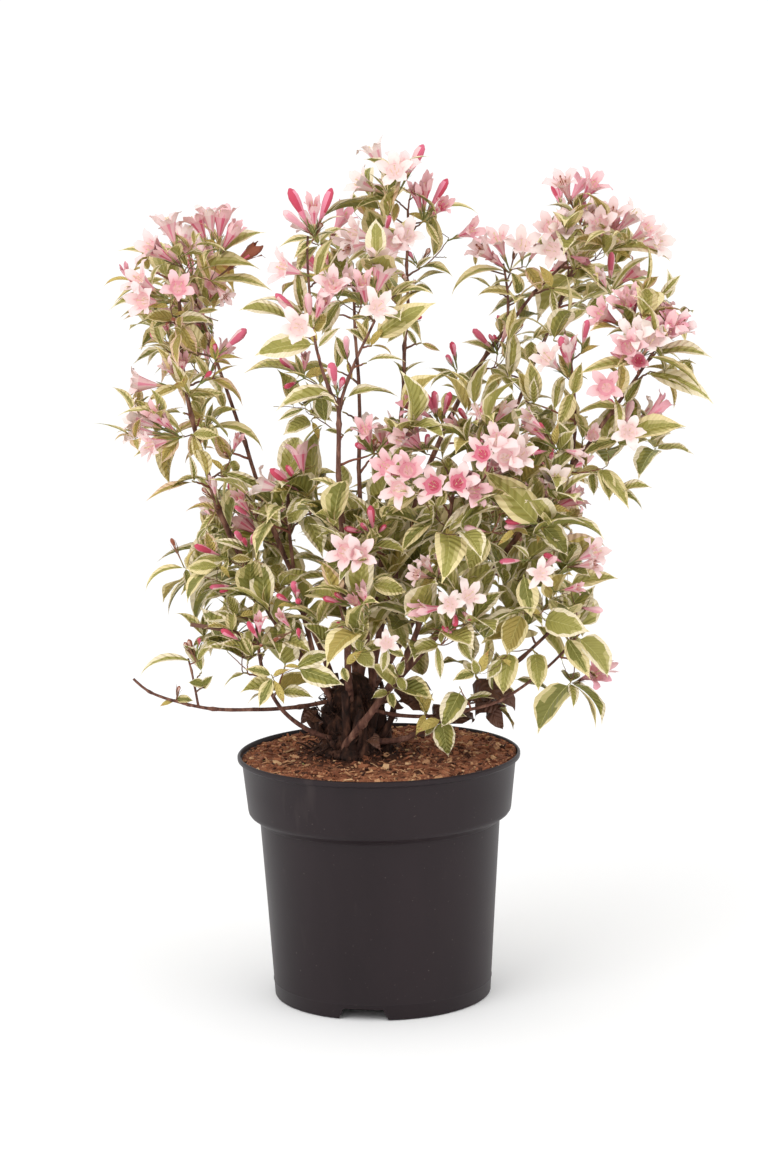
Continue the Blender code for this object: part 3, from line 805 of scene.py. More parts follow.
def makeRootCrown():
    # a lumpy stool, ringed with the bases of old stems, some cut off short, and fine roots
    rng = Random(crown["seed"])
    x, y = crown["foot"]
    foot = Vector((x, y, soilHeight(x, y) - 0.002))
    top = foot + Vector((*crown["lean"], crown["height"]))
    shares = np.linspace(0, 1, crown["stations"])
    radii = np.interp(shares, *zip(*crown["levels"]))
    path = np.array([foot.lerp(top, float(share)) for share in shares])

    def swell(index, turns):
        high = shares[index]
        return np.array([
            1 + sum(part * noise.noise(Vector((often * cos(a), often * sin(a), high * often)))
                    for often, part in ((2.4, 0.30), (6, 0.30), (14, 0.22))) for a in turns
        ])

    tubes = [(*tubeAlong(path, radii, crown["sides"], swell), crown["sides"])]
    kinds = ["old"] * crown["oldStems"] + ["stub"] * crown["stubs"]
    kinds += ["root"] * crown["roots"] + ["hanging"] * crown["hanging"]
    for number, kind in enumerate(kinds):
        angle = rng.uniform(0, 2 * pi)
        outward = Vector((cos(angle), sin(angle), 0))
        out = crown["flare"] * rng.uniform(0.35, 1.0)
        stray = Vector((rng.uniform(-1, 1), rng.uniform(-1, 1), 0))
        start = Vector((x, y, foot.z - 0.004)) + outward * out
        if kind == "old":
            rise = rng.uniform(0.020, 0.066)
            end = foot + outward * out * rng.uniform(0.6, 1.15) + stray * 0.016 + Vector((0, 0, rise))
            middle = (start + end) / 2 + outward * rng.uniform(-0.003, 0.006)
            middle += stray.orthogonal() * rng.uniform(-0.006, 0.006)
            thick, thin, sides = rng.uniform(0.0018, 0.0044), 0.6, 8
        elif kind == "stub":
            rise = rng.uniform(0.010, 0.040)
            start += Vector((0, 0, rng.uniform(0, 0.020)))
            end = start + outward * rng.uniform(0, 0.012) + stray * 0.012 + Vector((0, 0, rise))
            middle = (start + end) / 2 + stray * 0.006
            thick, thin, sides = rng.uniform(0.0012, 0.0034), 0.85, 7
        elif kind == "root":
            end = start + outward * rng.uniform(0.002, 0.014) + stray * 0.014
            end += Vector((0, 0, rng.uniform(0.001, 0.012)))
            middle = (start + end) / 2 + Vector((*stray.xy, 1)) * 0.006
            thick, thin, sides = rng.uniform(0.0004, 0.0010), 0.5, 4
        else:
            share = rng.uniform(0.05, 0.80)
            near = float(np.interp(share, *zip(*crown["levels"])))
            start = foot.lerp(top, share) + outward * near * 0.9
            end = start + outward * rng.uniform(0.001, 0.008) + stray * 0.010
            end += Vector((0, 0, rng.uniform(-0.016, 0.010)))
            middle = (start + end) / 2 + outward * rng.uniform(0.001, 0.005) + stray.orthogonal() * 0.004
            thick, thin, sides = rng.uniform(0.0003, 0.0009), 0.5, 4
        count = 14 if sides > 4 else 7
        seed = Vector((number, number * 0.7, 0))
        widths = np.linspace(thick * 1.2, thick * thin, count)

        def lumps(index, turns):
            return np.array([
                1 + 0.35 * noise.noise(Vector((2 * cos(a), 2 * sin(a), index * 0.5)) + seed) for a in turns
            ])

        tubes.append((*tubeAlong(bowed(start, middle, end, count), widths, sides, lumps), sides))
    points, quads, tris = joinTubes(tubes)
    slots = np.zeros(len(quads) + len(tris))
    obj = meshFromArrays("rootCrown", points, quads, tris, slots, [barkCrown])
    return finishPiece(obj, "bark", "root_crown")


makeRootCrown()
routes = limbRoutes()
for number, (name, (path, thick, thin)) in enumerate(routes.items()):
    makeLimb(name, path, thick, thin, number)
print("root crown and", len(routes), "limbs grown")


# leaves: green centre with a toothed edge, cream margin, pale midrib and a long thin tip

leaf = {
    "stations": [0.0, 0.07, 0.12, 0.20, 0.30, 0.41, 0.52, 0.63, 0.73, 0.82, 0.90, 1.0],
    "halfWidths": [0.009, 0.010, 0.070, 0.140, 0.186, 0.204, 0.196, 0.166, 0.120, 0.068, 0.026, 0.003],
    "ribHalf": 0.0065,
    "green": (158, 151, 77),
    "greenDeep": (128, 126, 59),
    "sage": (190, 179, 114),
    "olive": (172, 152, 80),
    "cream": (240, 226, 191),
    "creamYellow": (232, 215, 161),
    "creamBlush": (233, 200, 165),
    "rib": (190, 184, 112),
    "young": (208, 186, 106),
    "youngTip": (198, 146, 92),
    "dead": (92, 60, 46),
    "shapes": {"slim": (9, 0.62), "medium": (10, 1.0), "broad": (8, 1.32)},  # how many, and how wide
    "youngShapes": 5,
    "deadShapes": 3,
    "veins": 8,
    "veinRake": -0.55,  # the side veins lean to the tip
    "seed": 3,
}
ribPart, greenPart, sagePart, creamPart = range(4)
# each tint deals those four parts of a leaf to plain colours
leafTints = [
    ["rib", "green", "sage", "cream"],
    ["rib", "greenDeep", "green", "cream"],
    ["rib", "green", "sage", "creamYellow"],
    ["rib", "greenDeep", "sage", "creamYellow"],
    ["rib", "olive", "olive", "creamYellow"],
    ["rib", "olive", "young", "creamBlush"],
    ["young", "young", "youngTip", "young"],
    ["dead", "dead", "dead", "dead"],
]
leafColours = [
    "rib", "green", "greenDeep", "sage", "olive", "cream", "creamYellow", "creamBlush", "young",
    "youngTip", "dead",
]


def leafMaterial(name, colour):
    material, tree, shader = startMaterial("leaf" + name[0].upper() + name[1:], colour, 0.5, 0.35)
    place = addNode(tree, "ShaderNodeUVMap", uv_map="leafMap")
    split = addNode(tree, "ShaderNodeSeparateXYZ")
    tree.links.new(place.outputs["UV"], split.inputs[0])
    off = mathNode(tree, "SUBTRACT", split.outputs["X"], 0.5)
    away = mathNode(tree, "ABSOLUTE", off)
    rake = mathNode(tree, "MULTIPLY_ADD", away, leaf["veinRake"], split.outputs["Y"])
    often = mathNode(tree, "MULTIPLY", rake, 2 * pi * leaf["veins"])
    addBump(tree, shader, mathNode(tree, "SINE", often), 0.6, 0.0009)
    roughBetween(tree, shader, objectNoise(tree, 300, 3), 0.46, 0.62)
    return material


def makeLeafShape(rng, breadth=1.0, young=False, bend=None, dead=False):
    stations = leaf["stations"]
    breadth *= rng.uniform(0.90, 1.10)
    widths = [w * breadth * rng.uniform(0.96, 1.04) for w in leaf["halfWidths"]]
    if breadth > 1.1:  # broad leaves are rounder at the foot
        widths[2:5] = [widths[2] * 1.5, widths[3] * 1.25, widths[4] * 1.08]
    widths[0], widths[1] = leaf["halfWidths"][0], leaf["halfWidths"][1]
    bend = rng.uniform(0.4, 1.6) if bend is None else bend
    fold = rng.uniform(0.15, 0.65) if not young else rng.uniform(0.5, 0.9)
    twist = rng.uniform(-0.35, 0.35)
    wave, waveStart = rng.uniform(0.05, 0.16), rng.uniform(0, 6)
    # share of each half that is green
    inner = [rng.uniform(0.11 + 0.42 * breadth, 0.46 + 0.31 * breadth) for _ in range(2)]
    if rng.random() < 0.3 and breadth < 1.1:
        inner[rng.randrange(2)] *= 0.75
    drift = [rng.uniform(0, 6), rng.uniform(0, 6)]
    if young:
        inner = [rng.uniform(0.3, 0.7), rng.uniform(0.3, 0.7)]
    greenEnd = rng.uniform(0.80, 0.94)
    sageFrom = rng.randrange(3, 8)
    points, uv = [], []
    along, lift, before = 0.0, 0.0, 0.0
    for row, (s, w) in enumerate(zip(stations, widths)):
        slope = bend * (0.5 - (s ** 1.5)) - (0.5 if dead and s > 0.5 else 0.0)
        along += (s - before) * cos(slope)
        lift += (s - before) * sin(slope)
        before = s
        roll = twist * s
        rib = min(leaf["ribHalf"] * (1.15 - s), w * 0.4)
        for side in (-1, 1):
            half, toothed = (side + 1) // 2, 2 < row < 10
            tooth = (0.045 if row % 2 else -0.045) * (1 if toothed else 0) * rng.uniform(0.3, 1.4)
            reach = inner[half] * (1 - 0.22 * s * s) + tooth + 0.07 * sin(s * 7 + drift[half])
            if s > greenEnd:
                reach = 0.24
            if row < 3:
                reach = 0.8
            edge = max(rib * 1.3, min(w * 0.96, w * reach))
            forward = 0.016 * (1 if row % 2 else -0.6) * (1 if toothed else 0)
            across = [w, edge, max(rib * 1.15, edge * 0.52), rib]
            if side > 0:
                across = across[::-1]
            for index, reachOut in enumerate(across):
                share = reachOut / max(w, 1e-6)
                x = side * reachOut
                push = forward if reachOut == edge else 0.0
                ripple = wave * w * share ** 2 * sin(waveStart + s * 9 + side)
                z = fold * reachOut * (1 - 0.30 * share) + ripple
                if dead:
                    z += 0.5 * reachOut * sin(s * 11 + side)
                xr, zr = x * cos(roll) - z * sin(roll), x * sin(roll) + z * cos(roll)
                y = along + push * cos(slope) - zr * sin(slope)
                points.append((xr, y, lift + push * sin(slope) + zr * cos(slope)))
                uv.append((0.5 + x * 2, s))
    turn = atan2(lift, along)
    size = sqrt(along * along + lift * lift)
    straightened = []
    for x, y, z in points:  # the tip comes to lie one unit along Y
        ahead, above = y * cos(turn) + z * sin(turn), z * cos(turn) - y * sin(turn)
        straightened.append((x / size, ahead / size, above / size))
    faces, slots = [], []
    for row in range(len(stations) - 1):
        for column in range(7):
            a = row * 8 + column
            faces.append((a, a + 1, a + 9, a + 8))
            tipward = stations[row + 1] > greenEnd + 0.06
            if row == 0 or column == 3:
                slots.append(ribPart)
            elif column in (0, 6) or tipward:
                slots.append(creamPart)
            elif column in (1, 5) and sageFrom <= row < sageFrom + 3 and not young:
                slots.append(sagePart)
            elif young and row > 7:
                slots.append(sagePart)
            else:
                slots.append(greenPart)
    return shapeOf(straightened, faces, slots, uv)


leafRng = Random(leaf["seed"])
leafShapes, leafClass = [], {}
for kind, (count, breadth) in leaf["shapes"].items():
    leafClass[kind] = (len(leafShapes), count)
    leafShapes += [makeLeafShape(leafRng, breadth) for _ in range(count)]
youngFrom = len(leafShapes)
leafShapes += [makeLeafShape(leafRng, 0.72, young=True) for _ in range(leaf["youngShapes"])]
deadFrom = len(leafShapes)
leafShapes += [makeLeafShape(leafRng, 0.95, bend=2.4, dead=True) for _ in range(leaf["deadShapes"])]
leafMaterials = [leafMaterial(name, srgb(*leaf[name])) for name in leafColours]
leafDeal = [[leafColours.index(part) for part in tint] for tint in leafTints]
print(len(leafShapes), "leaf shapes drawn")


# flowers: an ovary and calyx, a funnel with five lobes, and closed buds

bloom = {
    "calyx": (128, 132, 70),
    "calyxBrown": (128, 88, 66),
    "peach": (222, 184, 148),
    "tube": (221, 152, 158),
    "pink": (229, 165, 177),
    "soft": (236, 192, 194),
    "pale": (240, 213, 211),
    "white": (243, 225, 220),
    "rose": (211, 101, 126),
    "deepRose": (198, 72, 96),
    "bright": (229, 141, 162),
    "stamen": (228, 212, 172),
    "faded": (214, 178, 164),
    "brown": (146, 84, 62),
    "segments": 15,
    "budSegments": 10,
    "mouth": 0.0275,  # how far up the funnel opens
    "variants": 7,
    "seed": 8,
}
bloomColours = [
    "calyx", "calyxBrown", "peach", "tube", "pink", "soft", "pale", "white", "rose", "deepRose", "bright",
    "stamen", "faded", "brown",
]
calyxPart, footPart, tubePart, stripePart, mouthPart, lobePart, stamenPart, stainPart = range(8)
# each tint deals those eight parts of a flower to plain colours
bloomTints = [
    ["calyx", "peach", "soft", "bright", "pale", "pale", "stamen", "soft"],
    ["calyx", "peach", "pink", "rose", "soft", "soft", "stamen", "pink"],
    ["calyxBrown", "tube", "pink", "bright", "soft", "pink", "stamen", "tube"],
    ["calyx", "peach", "pale", "pink", "pale", "white", "stamen", "pale"],
    ["calyxBrown", "faded", "soft", "tube", "soft", "pale", "brown", "faded"],
    ["calyx", "tube", "pink", "rose", "rose", "pale", "stamen", "bright"],
    ["calyx", "peach", "pink", "rose", "rose", "soft", "stamen", "bright"],
    ["calyx", "tube", "bright", "deepRose", "deepRose", "bright", "stamen", "rose"],
    ["calyxBrown", "calyxBrown", "faded", "brown", "brown", "faded", "stamen", "brown"],
    ["calyxBrown", "brown", "brown", "rose", "brown", "brown", "brown", "brown"],
]


def petalMaterial(name, colour):
    material, tree, shader = startMaterial("bloom" + name[0].upper() + name[1:], colour, 0.55, 0.25)
    place = addNode(tree, "ShaderNodeUVMap", uv_map="bloomMap")
    stretch = addNode(tree, "ShaderNodeMapping")
    stretch.inputs["Scale"].default_value = (26, 2.5, 1)
    tree.links.new(place.outputs["UV"], stretch.inputs["Vector"])
    grain = addNode(tree, "ShaderNodeTexNoise", Scale=1.0, Detail=3.0)
    tree.links.new(stretch.outputs["Vector"], grain.inputs["Vector"])
    addBump(tree, shader, grain.outputs["Fac"], 0.35, 0.0004)
    roughBetween(tree, shader, grain.outputs["Fac"], 0.48, 0.64)
    shader.inputs["Sheen Weight"].default_value = 0.08
    return material


def ringsOf(stations, segments, jitter, rng):
    points, uv = [], []
    for height, radius in stations:
        for number in range(segments):
            turn = 2 * pi * number / segments
            reach = radius * (1 + rng.uniform(-jitter, jitter))
            points.append((reach * cos(turn), reach * sin(turn), height))
            uv.append((number / segments, height * 25))
    return points, uv


def addCalyx(points, faces, slots, uv, rng, length=0.0085):
    # the slender ovary and five narrow sepals
    start = len(points)
    for height, radius in ((0.0, 0.0006), (length, 0.0009)):
        for number in range(4):
            turn = pi / 2 * number
            points.append((radius * cos(turn), radius * sin(turn), height))
            uv.append((0.5, 0.1))
    faces += ringFaces(start, start + 4, 4)
    slots += [calyxPart] * 4
    for number in range(5):
        turn = 2 * pi * (number + rng.uniform(-0.15, 0.15)) / 5
        out = Vector((cos(turn), sin(turn), 0))
        side = Vector((-sin(turn), cos(turn), 0)) * 0.0006
        foot = out * 0.0009 + Vector((0, 0, length - 0.001))
        middle = out * 0.0019 + Vector((0, 0, length + 0.003))
        tip = out * rng.uniform(0.0026, 0.0042) + Vector((0, 0, length + rng.uniform(0.006, 0.009)))
        first = len(points)
        points += [tuple(foot - side), tuple(foot + side)]
        points += [tuple(middle + side), tuple(middle - side), tuple(tip)]
        uv += [(0.5, 0.2)] * 5
        faces += [(first, first + 1, first + 2, first + 3), (first + 3, first + 2, first + 4)]
        slots += [calyxPart] * 2


def addStamens(points, faces, slots, uv, rng, height, reach):
    for number in range(5):
        turn = 2 * pi * (number + 0.5) / 5
        out = Vector((cos(turn), sin(turn), 0))
        side = Vector((-sin(turn), cos(turn), 0)) * 0.00028
        foot = out * 0.0014 + Vector((0, 0, height - 0.007))
        tip = out * reach * rng.uniform(0.5, 0.9) + Vector((0, 0, height + rng.uniform(0.001, 0.004)))
        first = len(points)
        points += [tuple(foot - side), tuple(foot + side), tuple(tip + side), tuple(tip - side)]
        head = Vector((0, 0, 0.0017))
        points += [tuple(tip - side * 2.4), tuple(tip + side * 2.4)]
        points += [tuple(tip + side * 2 + head), tuple(tip - side * 2 + head)]
        uv += [(0.5, 0.5)] * 8
        faces += [(first, first + 1, first + 2, first + 3), (first + 4, first + 5, first + 6, first + 7)]
        slots += [stamenPart] * 2


def openFlower(rng, flare, recurve, wide):
    # flare: how wide the lobes leave the mouth; recurve: how far they turn back
    segments, mouth = bloom["segments"], bloom["mouth"]
    stations = [(0.0080, 0.0010), (0.0145, 0.0015), (0.0215, wide * 0.60), (mouth, wide)]
    points, uv = ringsOf(stations, segments, 0.04, rng)
    faces, slots = [], []
    for ring in range(3):
        faces += ringFaces(ring * segments, (ring + 1) * segments, segments)
        for number in range(segments):
            slots.append(footPart if ring == 0 else stripePart if number % 3 == 1 else tubePart)
    throat = len(points)  # a shallow cup of its own closes the funnel
    for share, depth in ((0.97, 0.0004), (0.60, 0.0026)):
        points += [(x * share, y * share, z - depth) for x, y, z in points[3 * segments:4 * segments]]
        uv += [(0.5, 0.4)] * segments
    points.append((0, 0, mouth - 0.0052))
    uv.append((0.5, 0.4))
    inner = throat + segments
    for number, face in enumerate(ringFaces(throat, inner, segments)):
        faces += [face, (inner + number, inner + (number + 1) % segments, inner + segments)]
        slots += [stainPart, mouthPart]
    rim = 3 * segments
    for lobe in range(5):
        ids = [rim + (lobe * 3 + n) % segments for n in range(4)]
        corners = [Vector(points[i]) for i in ids]
        centre = (corners[0] + corners[3]) / 2
        out = Vector((centre.x, centre.y, 0)).normalized()
        side = (corners[3] - corners[0]).normalized()
        length = rng.uniform(0.0090, 0.0124)
        span = wide * rng.uniform(1.30, 1.56)
        turn, position = radians(flare + rng.uniform(-18, 15)), (corners[1] + corners[2]) / 2
        curl, lean = radians(recurve + rng.uniform(-26, 22)), rng.uniform(-0.34, 0.34)
        last = ids
        for row, (step, width) in enumerate(((0.34, 0.94), (0.36, 0.80), (0.30, 0.40))):
            heading = out * sin(turn) + Vector((0, 0, cos(turn))) + side * lean * 0.5
            position = position + heading * length * step
            below = heading.cross(side)
            across = (side + below * lean).normalized()
            now = []
            for share in (-0.5, -0.17, 0.17, 0.5):
                edge = abs(share) > 0.3
                hollow = (-0.0007 if edge else 0.0) * (1 if row < 2 else 0.3)
                sunk = below * (hollow + rng.uniform(-0.0005, 0.0005) * (1.6 if edge else 0.6))
                pull = (-0.0022, -0.0008) if edge and row == 2 else (-0.0003, 0.0003)
                pulled = heading * rng.uniform(*pull)
                points.append(tuple(position + across * span * width * share - sunk + pulled))
                uv.append((lobe * 0.2 + 0.1 + share * 0.2, 0.75 + row * 0.08))
                now.append(len(points) - 1)
            for column in range(3):
                if row == 0 and column == 1:  # the stain of the throat runs to a point on each lobe
                    points.append(tuple((Vector(points[now[1]]) + Vector(points[now[2]])) / 2))
                    uv.append((lobe * 0.2 + 0.1, 0.75))
                    point = len(points) - 1
                    faces += [(last[1], last[2], point), (last[1], point, now[1]), (last[2], now[2], point)]
                    slots += [stainPart, lobePart, lobePart]
                else:
                    faces.append((last[column], last[column + 1], now[column + 1], now[column]))
                    slots.append(lobePart)
            last = now
            turn += curl * (0.5 + 0.3 * row)
    addCalyx(points, faces, slots, uv, rng)
    addStamens(points, faces, slots, uv, rng, mouth, 0.004)
    return shapeOf(points, faces, slots, uv)


def closedBud(rng, length, fat):
    segments = bloom["budSegments"]
    profile = [
        (0.0075, 0.0008), (0.0135, 0.0012), (0.0190, 0.0022), (0.0250, 0.0031), (0.0300, 0.0034),
        (0.0340, 0.0026), (0.0362, 0.0010),
    ]
    low, high = profile[0][0], profile[-1][0]
    stretch = (length - low) / (high - low)
    stations = [(low + (h - low) * stretch, r * fat) for h, r in profile]
    points, uv = ringsOf(stations, segments, 0.07, rng)
    faces, slots = [], []
    for ring in range(len(stations) - 1):
        faces += ringFaces(ring * segments, (ring + 1) * segments, segments)
        if ring < 2:
            slots += [footPart if ring == 0 else tubePart] * segments
        else:
            # the paler streaks down two sides of a bud are painted highlights
            slots += [lobePart if number % 5 < 2 and ring < 5 else mouthPart for number in range(segments)]
    points.append((0, 0, stations[-1][0] + 0.0006))
    uv.append((0.5, 1))
    base = (len(stations) - 1) * segments
    for number in range(segments):
        faces.append((base + number, base + (number + 1) % segments, len(points) - 1))
        slots.append(mouthPart)
    addCalyx(points, faces, slots, uv, rng, 0.0080 if length > 0.02 else 0.006)
    return shapeOf(points, faces, slots, uv)


def bareStyle(rng):
    # what stays when the flower has dropped: ovary, sepals and a pin-headed style
    points, faces, slots, uv = [], [], [], []
    addCalyx(points, faces, slots, uv, rng)
    lean = Vector((rng.uniform(-0.004, 0.004), rng.uniform(-0.004, 0.004), 0))
    for height, radius in ((0.0080, 0.0003), (0.0240, 0.00022), (0.0243, 0.0008), (0.0257, 0.0006)):
        for number in range(4):
            turn = pi / 2 * number
            push = lean * max(0, (height - 0.008) / 0.016)
            points.append((radius * cos(turn) + push.x, radius * sin(turn) + push.y, height))
            uv.append((0.5, 0.5))
    start = len(points) - 16
    for ring in range(3):
        faces += ringFaces(start + ring * 4, start + ring * 4 + 4, 4)
        slots += [stamenPart if ring == 0 else stripePart] * 4
    return shapeOf(points, faces, slots, uv)


bloomKinds = {
    # open flowers: flare, recurve and width of the mouth; buds: length and fatness
    "open": (openFlower, (26, 44), (30, 50), (0.0056, 0.0064)),
    "half": (openFlower, (4, 16), (6, 24), (0.0040, 0.0047)),
    "bud": (closedBud, (0.034, 0.037), (0.95, 1.12)),
    "short": (closedBud, (0.022, 0.026), (0.72, 0.86)),
    "small": (closedBud, (0.014, 0.017), (0.45, 0.6)),
    "style": (bareStyle,),
}
bloomRng = Random(bloom["seed"])
bloomShapes = []
bloomFirst = {}  # kind of flower to its first shape number
for kind, (draw, *limits) in bloomKinds.items():
    bloomFirst[kind] = len(bloomShapes)
    for _ in range(bloom["variants"]):
        bloomShapes.append(draw(bloomRng, *[bloomRng.uniform(*pair) for pair in limits]))
bloomFirst["star"] = bloomFirst["rosy"] = bloomFirst["open"]
bloomFirst["spent"] = bloomFirst["half"]
bloomMaterials = [petalMaterial(name, srgb(*bloom[name])) for name in bloomColours]
bloomDeal = [[bloomColours.index(part) for part in tint] for tint in bloomTints]
bloomLength = {
    "open": 0.034, "star": 0.032, "rosy": 0.032, "half": 0.037, "bud": 0.036, "short": 0.024, "small": 0.0155,
    "spent": 0.030, "style": 0.024,
}
bloomTintChoice = {
    "open": [0, 0, 0, 1, 1, 2, 3, 3, 4], "star": [3, 3, 0, 0, 1], "rosy": [5], "half": [1, 1, 2, 6, 0, 0],
    "bud": [6, 6, 7, 2], "short": [6, 7, 7], "small": [8, 8, 7], "spent": [9], "style": [0, 4],
}
print(len(bloomShapes), "flower and bud shapes drawn")


# which masses each region's leaves stand in for

regions = {
    "left": ["left_top", "left_upper", "left_outer", "left_inner", "left_shoulder", "left_wand"],
    "front": ["front_left_top", "front_left_upper", "front_right_upper", "front_left_lower"],
    "crown": ["crown_top", "crown_right"],
    "right": ["right_top", "right_inner_top", "right_inner", "right_outer_top", "right_outer_mid",
              "right_shoulder", "right_tip"],
    "centre": ["front_centre", "front_right", "mid_left", "mid_front", "mid_right", "mid_far_right", "core"],
    "low": ["low_left", "low_front", "low_front_right", "low_right", "low_right_tip", "foot_right"],
    "back": ["back_left_top", "back_left", "back_top", "back", "back_right_top", "back_right"],
}

